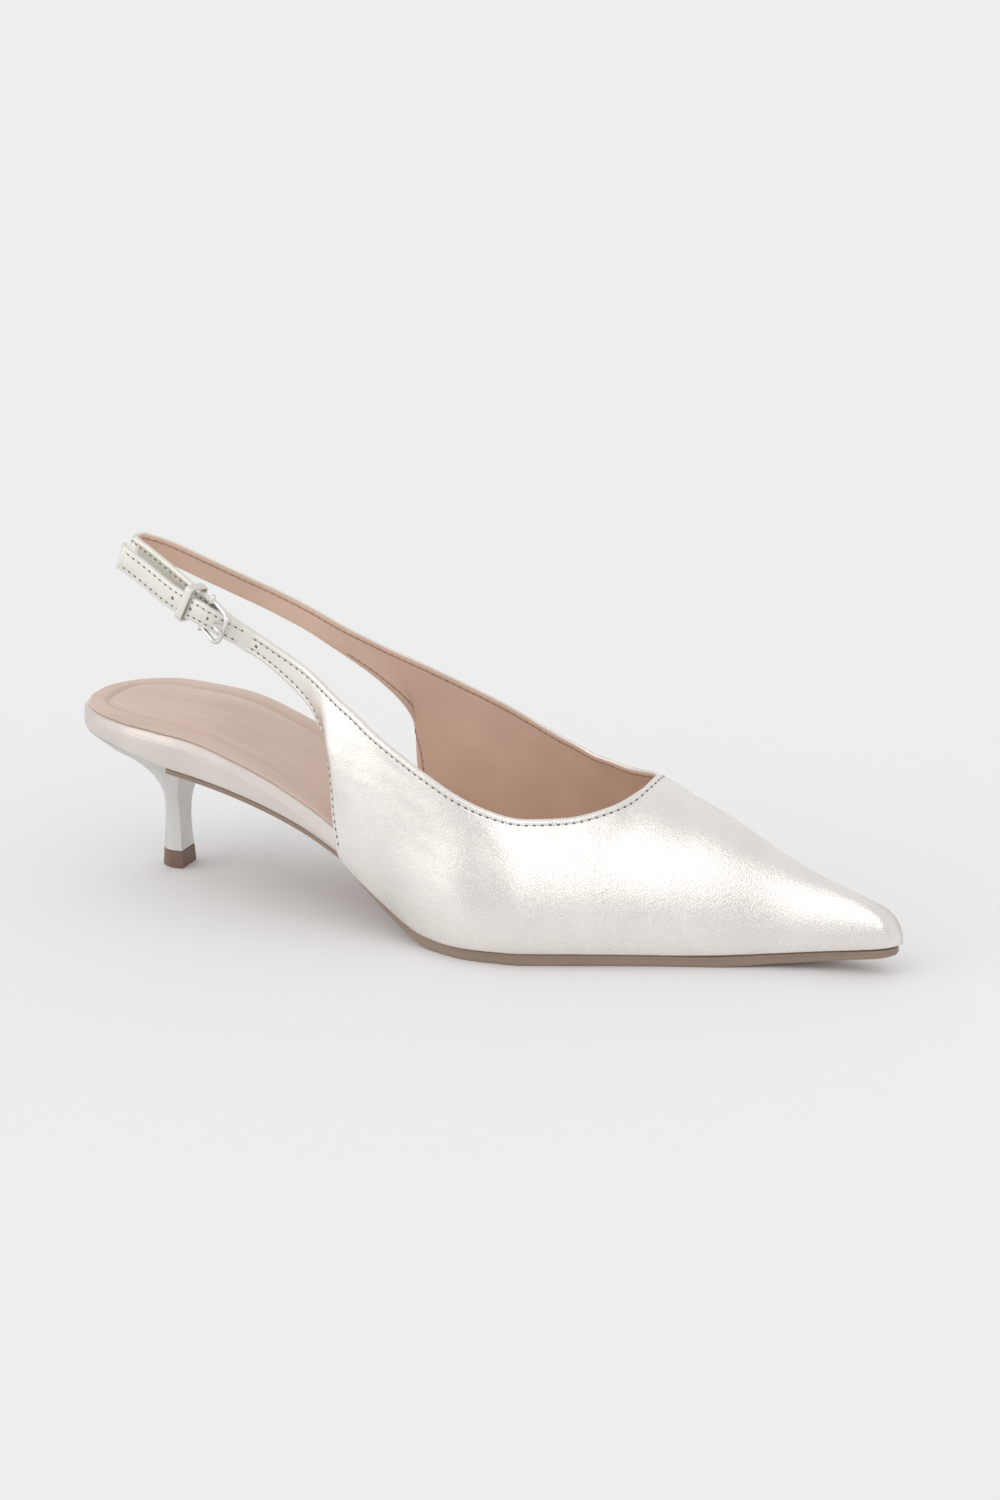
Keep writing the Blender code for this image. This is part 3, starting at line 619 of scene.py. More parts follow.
def leather_relief(tops, lows, where, side, grid):
    """Soft shapes of the leather: the folded edge, the stitch's furrow and the creases."""
    free = 1 - ramp(where, CORNER_ROW - 0.4, CORNER_ROW + 0.1)[:, None]
    relief = 0.16 * hump(tops, 1.0, 0.62) - 0.1 * hump(tops, 1.95, 0.34)
    relief += free * (0.16 * hump(lows, 1.0, 0.62) - 0.1 * hump(lows, 1.95, 0.34))
    x = grid[..., 0]
    z = grid[..., 2]
    across = tops / (tops + lows)
    full = ramp(where, 9.0, 15.0)[:, None] * (1 - ramp(where, 22.0, 27.0))[:, None]
    relief += BELLY * full * np.sin(np.pi * across**1.7)
    outer = (side < 0)[:, None]
    inner = (side > 0)[:, None]
    quarter = ramp(where, 11.0, 14.5)[:, None] * (1 - ramp(where, 18.5, 21.0))[:, None]
    fade = ramp(tops, 2.4, 5.0) * (1 - ramp(tops, 18.0, 30.0))
    waves = np.sin((x * 0.55 + z * 0.9) * 0.8) + 0.6 * np.sin((x * 0.2 + z * 1.3) * 0.9 + 1.2)
    relief += 0.035 * waves * quarter * fade * outer
    relief += 0.06 * waves * quarter * fade * inner
    ball = hump(x, 158.0, 17.0) * ramp(tops, 2.5, 8.0) * ramp(lows, 4.0, 12.0)
    relief += 0.03 * ball * np.sin((x * 0.9 + z * 0.35) * 0.62)
    return relief


def gathered(tops, lows, where, side):
    """Small cross ripples where elastic gathers the strap on the inner side."""
    strap = (side > 0)[:, None] * ramp(where, 2.2, 3.0)[:, None] * (1 - ramp(where, 7.2, 8.2))[:, None]
    band = ramp(tops, 0.6, 1.4) * ramp(lows, 0.6, 1.4)
    return strap * band


def make_upper(leather, lining):
    """The upper's leather with its rounded edges, and the lining inside it."""
    grid, tops, lows, where, side = band_grid()
    normal = grid_normals(grid)
    along = np.concatenate([[0], np.cumsum(np.linalg.norm(np.diff(grid[:, 0], axis=0), axis=1))])
    relief = leather_relief(tops, lows, where, side, grid)
    pull = gathered(tops, lows, where, side)
    ripple = np.sin(along[:, None] * 2 * np.pi / 1.55 + 0.8 * np.sin(tops * 1.7)) * 0.5 + 0.5
    rows = sum(hump(tops, STRAP_WIDTH * t, 0.3) for t in (0.2, 0.4, 0.6, 0.8))
    relief = relief + pull * (0.36 * ripple - 0.28 * rows)
    edge = np.minimum(tops, lows)
    outside = grid + normal * (relief - edge_turn(edge))[..., None]
    back = grid - normal * (WALL - edge_turn(edge))[..., None]
    count, deep = grid.shape[:2]
    inner_rows = len(EDGE_STEPS) - 2
    points = [outside.reshape(-1, 3)]
    faces = grid_faces(count, deep, closed_rows=True)
    start = count * deep
    for rows_used in (np.arange(0, inner_rows), np.arange(deep - inner_rows, deep)):
        sheet = back[:, rows_used]
        points.append(sheet.reshape(-1, 3))
        faces += grid_faces(count, len(rows_used), closed_rows=True, start=start, flip=True)
        start += sheet.shape[0] * sheet.shape[1]
    upper = make_object("upper_leather", np.concatenate(points), faces, leather, closed=False)

    used = np.arange(LINING_START, deep - LINING_START)
    depth = WALL - edge_turn(edge[:, used]) + 0.02 + 0.16 * ramp(edge[:, used], 0.2, 1.0)
    depth = depth - 0.1 * hump(tops[:, used], 1.95, 0.3)
    soft = 0.12 * np.sin(grid[:, used, 0] * 0.21 + grid[:, used, 2] * 0.34) * ramp(edge[:, used], 4, 12)
    sheet = grid[:, used] - normal[:, used] * (depth + soft)[..., None]
    faces = grid_faces(count, len(used), closed_rows=True, flip=True)
    inside = make_object("upper_lining", sheet.reshape(-1, 3), faces, lining, closed=False)
    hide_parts("upper")
    return {
        "normal": normal, "outside": outside, "where": where, "side": side,
        "lining": sheet, "inner": normal[:, used],
    }


# ---------------------------------------------------------------- thread


def bead_shape(turns=6, rings=4):
    """A unit bead: long axis x, width y, height z."""
    points = [(-1, 0, 0)]
    for r in range(1, rings):
        a = np.pi * r / rings
        for t in range(turns):
            b = 2 * np.pi * t / turns
            points.append((-np.cos(a), np.sin(a) * np.cos(b), np.sin(a) * np.sin(b)))
    points.append((1, 0, 0))
    faces = []
    for t in range(turns):
        m = (t + 1) % turns
        faces.append((0, 1 + m, 1 + t))
        for r in range(rings - 2):
            a, b = 1 + r * turns, 1 + (r + 1) * turns
            faces.append((a + t, a + m, b + m, b + t))
        a = 1 + (rings - 2) * turns
        faces.append((a + t, a + m, len(points) - 1))
    return np.array(points, float), faces


def sow(places, size, shape=None):
    """Copies of a bead at places, each a point with its axes along, across and out."""
    base, base_faces = shape or bead_shape()
    points = []
    faces = []
    for middle, along, across, out in places:
        start = len(points)
        local = base * np.array(size)
        moved = middle + local[:, :1] * along + local[:, 1:2] * across + local[:, 2:] * out
        points.extend(moved)
        faces.extend(tuple(start + k for k in face) for face in base_faces)
    return points, faces


def seam_places(path, out, pitch, lift, first=0.5):
    """Places along a path at a pitch, each with its axes."""
    reach = np.concatenate([[0], np.cumsum(np.linalg.norm(np.diff(path, axis=0), axis=1))])
    spots = np.arange(first * pitch, reach[-1], pitch)
    places = []
    for spot in spots:
        point = np.array([np.interp(spot, reach, path[:, k]) for k in range(3)])
        ahead = np.array([np.interp(spot + 0.6, reach, path[:, k]) for k in range(3)])
        behind = np.array([np.interp(spot - 0.6, reach, path[:, k]) for k in range(3)])
        normal = np.array([np.interp(spot, reach, out[:, k]) for k in range(3)])
        along = unit(ahead - behind)
        normal = unit(normal - along * np.dot(normal, along))
        places.append((point + normal * lift, along, np.cross(normal, along), normal))
    return places


STITCH_PITCH = 2.3


def sew(paths, thread_points, hole_shade_points, lift=0.02, pitch=STITCH_PITCH):
    """Adds the stitches of several paths, and dark beads between them that paint the shade in the
    needle holes.
    """
    for path, out in paths:
        for target, size, shift, up in (
            (thread_points, (0.66, 0.22, 0.17), 0.5, lift),
            # painted shade: a flat dark bead in each needle hole
            (hole_shade_points, (0.56, 0.36, 0.13), 1.0, lift + 0.01),
        ):
            points, faces = sow(seam_places(path, out, pitch, up, shift), size)
            start = len(target[0])
            target[0].extend(points)
            target[1].extend(tuple(start + k for k in face) for face in faces)


# ---------------------------------------------------------------- plates


def inset_place(share, last, inset):
    back = np.clip(1 - share / SEAT_ROUND, 0, 1)
    tip = np.clip((share - (last - TIP_ROUND)) / TIP_ROUND, 0, 0.97)
    moved = share + (back * inset - tip * inset) / LENGTH
    half = smooth(PLAN, 2, moved, BALL_WIDTH) - inset
    return moved, half * np.sqrt(1 - back**2) * np.sqrt(1 - tip**2)


def plate_shares(first, last, count):
    turn = np.linspace(0, np.pi, count)
    even = np.linspace(0, 1, count)
    return first + (last - first) * (0.42 * even + 0.58 * (1 - np.cos(turn)) / 2)


def plate_rows(shares, level, across):
    """Grid over the plan at a level, which is an inset and a height, both functions of the share."""
    inset, height = level
    moved, half = inset_place(shares, shares[-1], inset(shares))
    t = np.linspace(-1, 1, across)
    x = np.repeat(moved[:, None] * LENGTH, across, axis=1)
    y = centre_line(moved)[:, None] + half[:, None] * t
    z = np.repeat(height(moved)[:, None], across, axis=1)
    return np.stack([x, y, z], axis=-1), half


def make_plate(name, shares, levels, across, material, relief=None):
    """A closed plate through levels, with a relief on its top face."""
    top, half = plate_rows(shares, levels[-1], across)
    low, _ = plate_rows(shares, levels[0], across)
    if relief is not None:
        t = np.linspace(-1, 1, across)
        margin = (1 - np.abs(t))[None, :] * half[:, None]
        ends = np.minimum(top[:, :, 0] - top[0, 0, 0], top[-1, 0, 0] - top[:, :, 0])
        near = margin * ends / (margin**4 + ends**4 + 1e-9) ** 0.25
        top[..., 2] += relief(top[..., 0], top[..., 1], near)
    count = len(shares)
    size = count * across
    points = [top.reshape(-1, 3), low.reshape(-1, 3)]
    faces = grid_faces(count, across)
    faces += grid_faces(count, across, start=size, flip=True)
    rim = [i * across for i in range(count)]
    rim += [(count - 1) * across + j for j in range(1, across)]
    rim += [i * across + across - 1 for i in range(count - 2, -1, -1)]
    rim += list(range(across - 2, 0, -1))
    loops = [[size + r for r in rim]]
    used = 2 * size
    for level in levels[1:-1]:
        ring = plate_rows(shares, level, across)[0].reshape(-1, 3)[rim]
        points.append(ring)
        loops.append(list(range(used, used + len(rim))))
        used += len(rim)
    loops.append(rim)
    for one, two in zip(loops, loops[1:]):
        for k in range(len(rim)):
            m = (k + 1) % len(rim)
            faces.append((one[k], two[k], two[m], one[m]))
    return make_object(name, np.concatenate(points), faces, material)


def drawn_in(share):
    return smooth(DRAWN_IN, 1, share)


def make_rim(leather):
    """The board's edge wrapped in leather: an upright side, a crisp fold and a lip that slopes in."""
    shares = plate_shares(0.0012, BOARD_SHARE, 210)

    def low(share):
        return board_under(share) + GAP / 2

    def rim(share):
        bevel = hermite([0.0, 0.38], [1.2, 3.4], share)
        return board_top(share) - np.minimum(bevel, 0.6 * (board_top(share) - low(share)))

    def level(inset, low_share, rim_share, lift=0.0):
        top_share = 1 - low_share - rim_share
        return (
            lambda s: drawn_in(s) + inset,
            lambda s: low_share * low(s) + rim_share * rim(s) + top_share * board_top(s) + lift,
        )

    rows = (
        # inset, share of the low face, share of the fold, lift
        (0.7, 1, 0),
        (0.25, 1, 0, 0.08),
        (0.05, 1, 0, 0.35),
        (0.0, 1, 0, 0.9),
        (-0.12, 0.5, 0.5),
        (0.0, 0, 1, -0.55),
        (0.04, 0, 1, -0.22),
        (0.16, 0, 1, -0.02),
        (0.36, 0, 1, 0.1),
        (0.7, 0, 0.72, 0.05),
        (1.25, 0, 0.25),
        (1.7, 0, 0, -0.02),
        (2.6, 0, 0),
    )
    levels = [level(*row) for row in rows]
    made = make_plate("insole_rim", shares, levels, 5, leather)
    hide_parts("insole_board")


def make_sock(cover):
    """The padded sock, with a pressed outline round the heel and soft folds towards the waist."""
    shares = plate_shares(0.0012, BOARD_SHARE, 260)

    def low(share):
        return board_top(share) + GAP / 2

    def level(inset, lift):
        return (lambda s: drawn_in(s) + SOCK_INSET + inset), (lambda s: low(s) + lift)

    steps = ((0.0, 0.0), (-0.02, 0.4), (0.1, 0.72), (0.3, 0.95), (0.6, 1.1), (1.0, 1.2))
    levels = [level(*step) for step in steps]

    def relief(x, y, margin):
        fade = 1 - ramp(x, 70.0, 112.0)
        pressed = -1.0 * hump(margin, 5.8, 0.75) * fade
        pad = 0.7 * ramp(margin, 6.0, 12.0) * fade
        lip = 0.14 * hump(margin, 2.6, 1.6) * fade
        waist = ramp(x, 52.0, 84.0) * (1 - ramp(x, 150.0, 190.0))
        folds = np.sin(y * 1.25 + x * 0.05 + 0.7 * np.sin(x * 0.09)) + 0.6 * np.sin(y * 2.3 - x * 0.03)
        streaks = 0.11 * folds * waist * ramp(margin, 1.0, 5.0)
        return pressed + pad + lip + streaks

    made = make_plate("insole_sock", shares, levels, 90, cover, relief)
    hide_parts("insole_cover")
    return made


def make_sole(brown):
    """The outsole with a fine groove along its edge."""
    shares = plate_shares(SOLE_START, SOLE_END, 200)

    def edge(share):
        return smooth(SOLE_EDGE, 1, share)

    def top(share):
        return board_under(share) - GAP / 2

    def low(share):
        return np.maximum(top(share) - smooth(SOLE_THICK, 1, share), 0.0)

    def level(inset, part):
        return (lambda s: edge(s) + inset), (lambda s: low(s) + (top(s) - low(s)) * part)

    steps = ((0.55, 0.0), (0.2, 0.02), (0.05, 0.12), (0.0, 0.3), (0.02, 0.52))
    steps += ((0.12, 0.56), (0.12, 0.6), (0.02, 0.64), (0.0, 0.85), (0.12, 1.0))
    levels = [level(*step) for step in steps]
    made = make_plate("outsole_edge", shares, levels, 5, brown)
    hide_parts("outsole")


# ---------------------------------------------------------------- heel

HEEL_POINTS = 46
HEEL_LEVELS = 46
HEEL_WIDEST = 0.65
HEEL_FLAT = 0.94
HEEL_START = 0.0035
SEAT_INSET = 0.7
HEEL_BLEND = (0.0, 0.33, 0.66)


def heel_loop(back, front, half, middle, count):
    """Section of the heel: a flat front and a rounded back."""
    widest = front - (1 - HEEL_WIDEST) * (front - back)
    points = [(front, middle + side * half * HEEL_FLAT) for side in np.linspace(-1, 1, 9)]
    for step in range(1, count):
        turn = np.pi * step / count
        points.append((widest - (widest - back) * np.sin(turn), middle + half * np.cos(turn)))
    return points


def make_heel(leather, brown):
    """The heel, from the seat down to its tip, and the tip."""
    limit = SOLE_START - GAP / LENGTH
    seat = []
    full = float(seat_half(limit)) - SEAT_INSET
    for x, y in heel_loop(0, 1, 1, 0, HEEL_POINTS):
        share = HEEL_START + (limit - HEEL_START) * x
        half = float(seat_half(share)) - SEAT_INSET
        if x > HEEL_WIDEST:
            reach = full
        else:
            reach = half / max(math.sqrt(max(1 - ((HEEL_WIDEST - x) / HEEL_WIDEST) ** 2, 0)), 0.2)
        across = float(np.clip(np.clip(y, -1, 1) * reach, -half, half))
        height = float(board_under(share)) - GAP / 2
        seat.append((share * LENGTH, float(centre_line(share)) + across, height))
    heights = column(HEEL, 0)[::-1]
    loops = [np.array(seat)]
    top = HEEL[0][0]
    for level in np.linspace(heights[-1], heights[0], HEEL_LEVELS):
        back, front, half, middle = (
            float(hermite(heights, column(HEEL, k)[::-1], level)) for k in (1, 2, 3, 4)
        )
        loop = heel_loop(
            back * LENGTH, front * LENGTH, half * BALL_WIDTH, middle * BALL_WIDTH, HEEL_POINTS
        )
        tilt = 0.5 * (level / top) ** 6
        rise = [(x, y, level * SEAT_HEIGHT + tilt * (2.0 - 0.085 * x)) for x, y in loop]
        loops.append(np.array(rise))
    blend = [loops[0] * (1 - t) + loops[1] * t for t in HEEL_BLEND]
    loops = blend + loops[1:]
    count = len(loops[0])
    faces = tube_faces(len(loops), count)
    heel = make_object("heel_block", np.concatenate(loops), faces, leather, sharp=32)
    height, back, front, half, middle = HEEL[-1]
    rings = []
    for z, grow in (
        (height * SEAT_HEIGHT - GAP / 2, -0.25),
        (height * SEAT_HEIGHT - GAP / 2 - 0.25, 0.05),
        (height * SEAT_HEIGHT * 0.6, 0.16),
        (0.35, 0.34),
        (0.0, 0.1),
    ):
        loop = heel_loop(
            back * LENGTH - grow, front * LENGTH + grow,
            half * BALL_WIDTH + grow, middle * BALL_WIDTH, HEEL_POINTS,
        )
        rings.append(np.array([(x, y, z) for x, y in loop]))
    faces = tube_faces(len(rings), count)
    tip = make_object("heel_top_piece", np.concatenate(rings), faces, brown, sharp=32)
    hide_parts("heel")
    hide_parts("heel_tip")


def seat_half(share):
    back = np.clip(1 - share / SEAT_ROUND, 0, 1)
    return smooth(PLAN, 2, share, BALL_WIDTH) * np.sqrt(1 - back**2)


def sew_upper(shape, thread, hole_shade_marks, lining_thread_and_hole_shade):
    """Stitch rows along the upper's edges, outside and on the inner side's lining, each with dark beads
    of painted shade in its needle holes.
    """
    where, side = shape["where"], shape["side"]
    lining_row = STITCH_ROW - 2 - LINING_START
    corner = CORNER_ROW - 0.05

    def columns(low, high, one):
        used = [k for k in range(len(where)) if low < where[k] < high and side[k] == one]
        return sorted(used, key=lambda k: where[k])

    def outer_row(used, row):
        sew([(shape["outside"][used, row], shape["normal"][used, row])], thread, hole_shade_marks)

    def lining_seam(used, row):
        # on the lining the needle holes' painted shade is laid as beads of the lining thread's colour,
        # in the same object as the thread
        sew([(shape["lining"][used, row], -shape["inner"][used, row])], lining_thread_and_hole_shade, lining_thread_and_hole_shade)

    outer_row([*range(len(where)), 0], STITCH_ROW)
    lining_seam(columns(0.5, LAST_ROW - 0.5, 1), lining_row)
    lining_seam(columns(9.0, corner, 1), -1 - lining_row)
    for one in (1, -1):
        outer_row(columns(0.3, corner, one), -1 - STITCH_ROW)


# ---------------------------------------------------------------- strap, keeper and buckle

TAIL_SEAM = 1.5
TAIL_HOLES = (0.1555, 0.1815, 0.2050)
STRAP_HOLES = (0.2400, 0.2640)
FRAME_LONG = 11.0
FRAME_WIDE = 11.6
FRAME_CORNER = 2.6
WIRE = 1.5
FRAME_LIFT = 0.45
FRAME_RISE = 2.2
PRONG = 1.2
KEEPER_ROUND = 1.0
KEEPER_ROOM = 0.65
KEEPER_HALF = (1.35, 0.42)


def strap_axes(share):
    """Axes at the outer strap: along it to the toe, down its width, and outwards."""
    step = 0.006
    along = unit(top_point(share + step, -1) - top_point(share - step, -1))
    position = float(np.interp(share, column(BAND, 0), np.arange(len(BAND))))
    down = low_point(position, -1) - top_point(share, -1)
    down = unit(down - along * np.dot(down, along))
    return along, down, np.cross(down, along)


def tail_value(number, share):
    return float(hermite(column(TAIL, 0), column(TAIL, number), share))


def tail_place(share):
    """Top edge, axes, width and thickness of the loose end at a share of the length."""
    along, down, out = strap_axes(share)
    narrow = tail_value(4, share)
    shift = np.array([0, -tail_value(1, share) * BALL_WIDTH, -tail_value(2, share) * SEAT_HEIGHT])
    top = top_point(share, -1) + shift + down * narrow
    return top, along, down, out, STRAP_WIDTH - 2 * narrow, tail_value(3, share)


def make_tail(leather, thread, hole_shade_marks):
    """The loose end of the strap, with rounded edges and stitch rows."""
    shares = np.linspace(TAIL[0][0], TAIL[-1][0] - 0.002, 120)
    loops = []
    upper_path, lower_path, outs = [], [], []
    for share in shares:
        top, _, down, out, width, thick = tail_place(share)
        end = ramp(share, shares[0], shares[0] + 0.004)
        r = min(0.5, thick / 2)
        corners = ((r, -r, 1), (width - r, -r, 0), (width - r, r - thick, 3), (r, r - thick, 2))
        swell = []
        for w, n in rounded(corners, r, 4, backwards=True):
            edge = min(w, width - w)
            bump = 0.1 * hump(edge, 1.0, 0.5) - 0.12 * hump(edge, 1.6, 0.3)
            swell.append((w, n + (bump if n > -0.4 * thick else 0.0)))
        loops.append(np.array([top + down * w + out * n * (0.75 + 0.25 * end) for w, n in swell]))
        upper_path.append(top + down * TAIL_SEAM)
        lower_path.append(top + down * (width - TAIL_SEAM))
        outs.append(out)
    faces = tube_faces(len(loops), len(loops[0]))
    tail = make_object("strap_loose_end", np.concatenate(loops), faces, leather, sharp=50)
    sewn = slice(5, len(shares) - 14)
    rows = [(np.array(path)[sewn], np.array(outs)[sewn]) for path in (upper_path, lower_path)]
    # the stitch rows bring dark beads of painted shade in their needle holes
    sew(rows, thread, hole_shade_marks, 0.0)


def hole_place(share, on_tail):
    """Middle of a punched hole with its axes."""
    if on_tail:
        top, along, down, out, width, _ = tail_place(share)
        return top + down * width / 2 + out * 0.02, along, down, out
    along, down, out = strap_axes(share)
    return top_point(share, -1) + down * STRAP_WIDTH / 2 + out * 0.03, along, down, out


def make_hole_shade(hole_shade_paint):
    """Painted shade of the punched holes: dark discs that lie in the leather where the holes are."""
    discs = [hole_place(s, True) for s in TAIL_HOLES] + [hole_place(s, False) for s in STRAP_HOLES]
    # dark discs of painted shade in place of openings
    points, faces = sow(discs, (0.62, 0.62, 0.05), bead_shape(14, 6))
    made = make_object("strap_hole_shade", points, faces, hole_shade_paint)


def wire(path, radius, sides, closed):
    """Points and faces of a round wire."""
    path = np.asarray(path, float)
    count = len(path)
    ahead = np.roll(path, -1, axis=0)
    behind = np.roll(path, 1, axis=0)
    if not closed:
        ahead[-1] = path[-1]
        behind[0] = path[0]
    way = unit(ahead - behind)
    side = unit(np.cross(way, (0.0, 0.0, 1.0)))
    up = np.cross(side, way)
    radius = np.broadcast_to(radius, (count,))
    turn = np.arange(sides) * 2 * np.pi / sides
    ring = np.cos(turn)[None, :, None] * side[:, None] + np.sin(turn)[None, :, None] * up[:, None]
    points = (path[:, None] + ring * radius[:, None, None]).reshape(-1, 3)
    if closed:
        return points, grid_faces(count, sides, closed_rows=True, closed_columns=True)
    return points, tube_faces(count, sides)


def frame_level(x):
    long = (FRAME_LONG - WIRE) / 2
    return FRAME_LIFT + WIRE / 2 + FRAME_RISE * (x + long) / (2 * long)


def make_buckle(steel):
    """The ring, the bar on which the prong turns, and the prong."""
    axes = np.array(strap_axes(BUCKLE_AT))
    middle = top_point(BUCKLE_AT, -1) + axes[1] * STRAP_WIDTH / 2
    long = (FRAME_LONG - WIRE) / 2
    wide = (FRAME_WIDE - WIRE) / 2
    a, b = long - FRAME_CORNER, wide - FRAME_CORNER
    corners = ((a, b, 0), (-a, b, 1), (-a, -b, 2), (a, -b, 3))
    path = [(x, y, frame_level(x)) for x, y in rounded(corners, FRAME_CORNER, 10)]
    points, faces = wire(path, WIRE / 2, 16, True)
    frame = make_object("buckle_ring", middle + points @ axes, faces, steel)
    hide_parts("buckle_frame")
    bar = [(-long, y, frame_level(-long) - 0.1) for y in np.linspace(-wide - 1.3, wide + 1.3, 15)]
    sizes = np.array([0.5, 0.85, 0.95, 0.85, 0.6] + [0.55] * 5 + [0.6, 0.85, 0.95, 0.85, 0.5])
    points, faces = wire(bar, sizes, 14, False)
    bar = make_object("buckle_bar", middle + points @ axes, faces, steel)
    rest = frame_level(long) + WIRE / 2 + 0.1 + PRONG / 2
    knots = np.array([
        (-long + 0.2, 0, frame_level(-long) + 0.4),
        (-long / 3, 0, frame_level(-long) + 0.5),
        (long / 3, 0, rest - 0.6),
        (long - WIRE / 2, 0, rest),
        (long + WIRE / 2, 0, rest - 0.1),
    ])
    t = np.linspace(0, 4, 30)
    path = np.stack([hermite(np.arange(5), knots[:, k], t) for k in range(3)], axis=1)
    path[:, 1] = 0
    size = PRONG / 2 * (1 - 0.35 * ramp(t, 3.2, 4.0))
    points, faces = wire(path, size, 12, False)
    prong = make_object("buckle_pin", middle + points @ axes, faces, steel, sharp=60)
    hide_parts("buckle_prong")


def make_keeper(leather):
    """The keeper: a narrow loop with rounded edges round the strap and its loose end."""
    along, down, out = strap_axes(KEEPER_AT)
    top = top_point(KEEPER_AT, -1)
    reach = tail_value(1, KEEPER_AT) * BALL_WIDTH
    drop = tail_value(2, KEEPER_AT) * SEAT_HEIGHT
    inside = WALL + GAP + 0.35
    outside = reach + GAP + 0.35
    high = -GAP - KEEPER_ROOM
    low = STRAP_WIDTH + drop + GAP + KEEPER_ROOM
    r = KEEPER_ROUND
    corners = ((low - r, outside - r, 0), (high + r, outside - r, 1))
    corners += ((high + r, -inside + r, 2), (low - r, -inside + r, 3))
    path = np.array(rounded(corners, r, 6))
    way = unit(np.roll(path, -1, axis=0) - np.roll(path, 1, axis=0))
    out_way = np.stack([way[:, 1], -way[:, 0]], axis=1)
    wide, thick = KEEPER_HALF
    section = []
    for turn in 2 * np.pi * np.arange(16) / 16:
        c, s = np.cos(turn), np.sin(turn)
        section.append((wide * np.sign(c) * abs(c) ** 0.35, thick * np.sign(s) * abs(s) ** 0.5))
    points = []
    for (w, n), (ow, on) in zip(path, out_way):
        for a, t in section:
            points.append(top + along * a + down * (w + ow * t) + out * (n + on * t))
    faces = grid_faces(len(path), len(section), closed_rows=True, closed_columns=True)
    made = make_object("strap_loop", points, faces, leather)
    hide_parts("strap_keeper")


# ---------------------------------------------------------------- materials

STRAP_FADE = (-0.062, -0.036)
STRAP_ROUGHNESS = 0.45


def shader(name, colour, metallic, roughness):
    made = bpy.data.materials.new(name)
    made.use_nodes = True
    node = made.node_tree.nodes["Principled BSDF"]
    node.inputs["Base Color"].default_value = (*colour, 1)
    node.inputs["Metallic"].default_value = metallic
    node.inputs["Roughness"].default_value = roughness
    return made, node


def add_noise(made, scale, detail=2.0, stretch=(1, 1, 1), rough=0.5):
    nodes, links = made.node_tree.nodes, made.node_tree.links
    where = nodes.new("ShaderNodeTexCoord")
    mapping = nodes.new("ShaderNodeMapping")
    mapping.inputs["Scale"].default_value = stretch
    noise = nodes.new("ShaderNodeTexNoise")
    noise.inputs["Scale"].default_value = scale
    noise.inputs["Detail"].default_value = detail
    noise.inputs["Roughness"].default_value = rough
    links.new(where.outputs["Object"], mapping.inputs["Vector"])
    links.new(mapping.outputs["Vector"], noise.inputs["Vector"])
    return noise.outputs["Fac"]


def add_bump(made, height, strength, distance, under=None):
    nodes, links = made.node_tree.nodes, made.node_tree.links
    bump = nodes.new("ShaderNodeBump")
    bump.inputs["Strength"].default_value = strength
    bump.inputs["Distance"].default_value = distance
    links.new(height, bump.inputs["Height"])
    if under is not None:
        links.new(under, bump.inputs["Normal"])
    return bump.outputs["Normal"]


def add_mix(made, factor, one, two, kind="RGBA"):
    """Two colours, numbers or sockets mixed by a factor."""
    nodes, links = made.node_tree.nodes, made.node_tree.links
    node = nodes.new("ShaderNodeMix")
    node.data_type = kind
    links.new(factor, node.inputs["Factor"])
    for name, value in (("A", one), ("B", two)):
        if isinstance(value, tuple):
            node.inputs[name].default_value = (*value, 1)
        elif isinstance(value, float):
            node.inputs[name].default_value = value
        else:
            links.new(value, node.inputs[name])
    return node.outputs["Result"]


def add_ramp(made, value, low, high, first, last, curve="LINEAR"):
    """A value mapped between two numbers or two colours."""
    nodes, links = made.node_tree.nodes, made.node_tree.links
    colours = isinstance(first, tuple)
    node = nodes.new("ShaderNodeMapRange")
    node.interpolation_type = curve
    ends = (0.0, 1.0) if colours else (first, last)
    for name, number in zip(("From Min", "From Max", "To Min", "To Max"), (low, high, *ends)):
        node.inputs[name].default_value = number
    links.new(value, node.inputs["Value"])
    share = node.outputs["Result"]
    return add_mix(made, share, first, last) if colours else share


def metal_leather(name, colour, roughness, metallic=0.93, strap=None):
    """Grained foil leather; with a strap colour it turns duller and paler towards the back strap."""
    made, node = shader(name, colour, metallic, roughness)
    nodes, links = made.node_tree.nodes, made.node_tree.links
    grain = add_noise(made, 2300.0, 2.0, rough=0.6)
    soft = add_noise(made, 420.0, 3.0)
    broad = add_noise(made, 60.0, 2.0)
    normal = add_bump(made, grain, 0.9, 0.00015)
    normal = add_bump(made, soft, 0.35, 0.0002, normal)
    links.new(normal, node.inputs["Normal"])
    polish = add_ramp(made, grain, 0.3, 0.7, roughness - 0.05, roughness + 0.07)
    darker = tuple(c * 0.93 for c in colour)
    tint = add_ramp(made, broad, 0.35, 0.65, darker, colour)
    if strap:
        place = nodes.new("ShaderNodeSeparateXYZ")
        links.new(nodes.new("ShaderNodeTexCoord").outputs["Object"], place.inputs[0])
        share = add_ramp(made, place.outputs["X"], *STRAP_FADE, 1.0, 0.0)
        polish = add_mix(made, share, polish, STRAP_ROUGHNESS, "FLOAT")
        tint = add_mix(made, share, tint, strap)
    links.new(polish, node.inputs["Roughness"])
    links.new(tint, node.inputs["Base Color"])
    return made


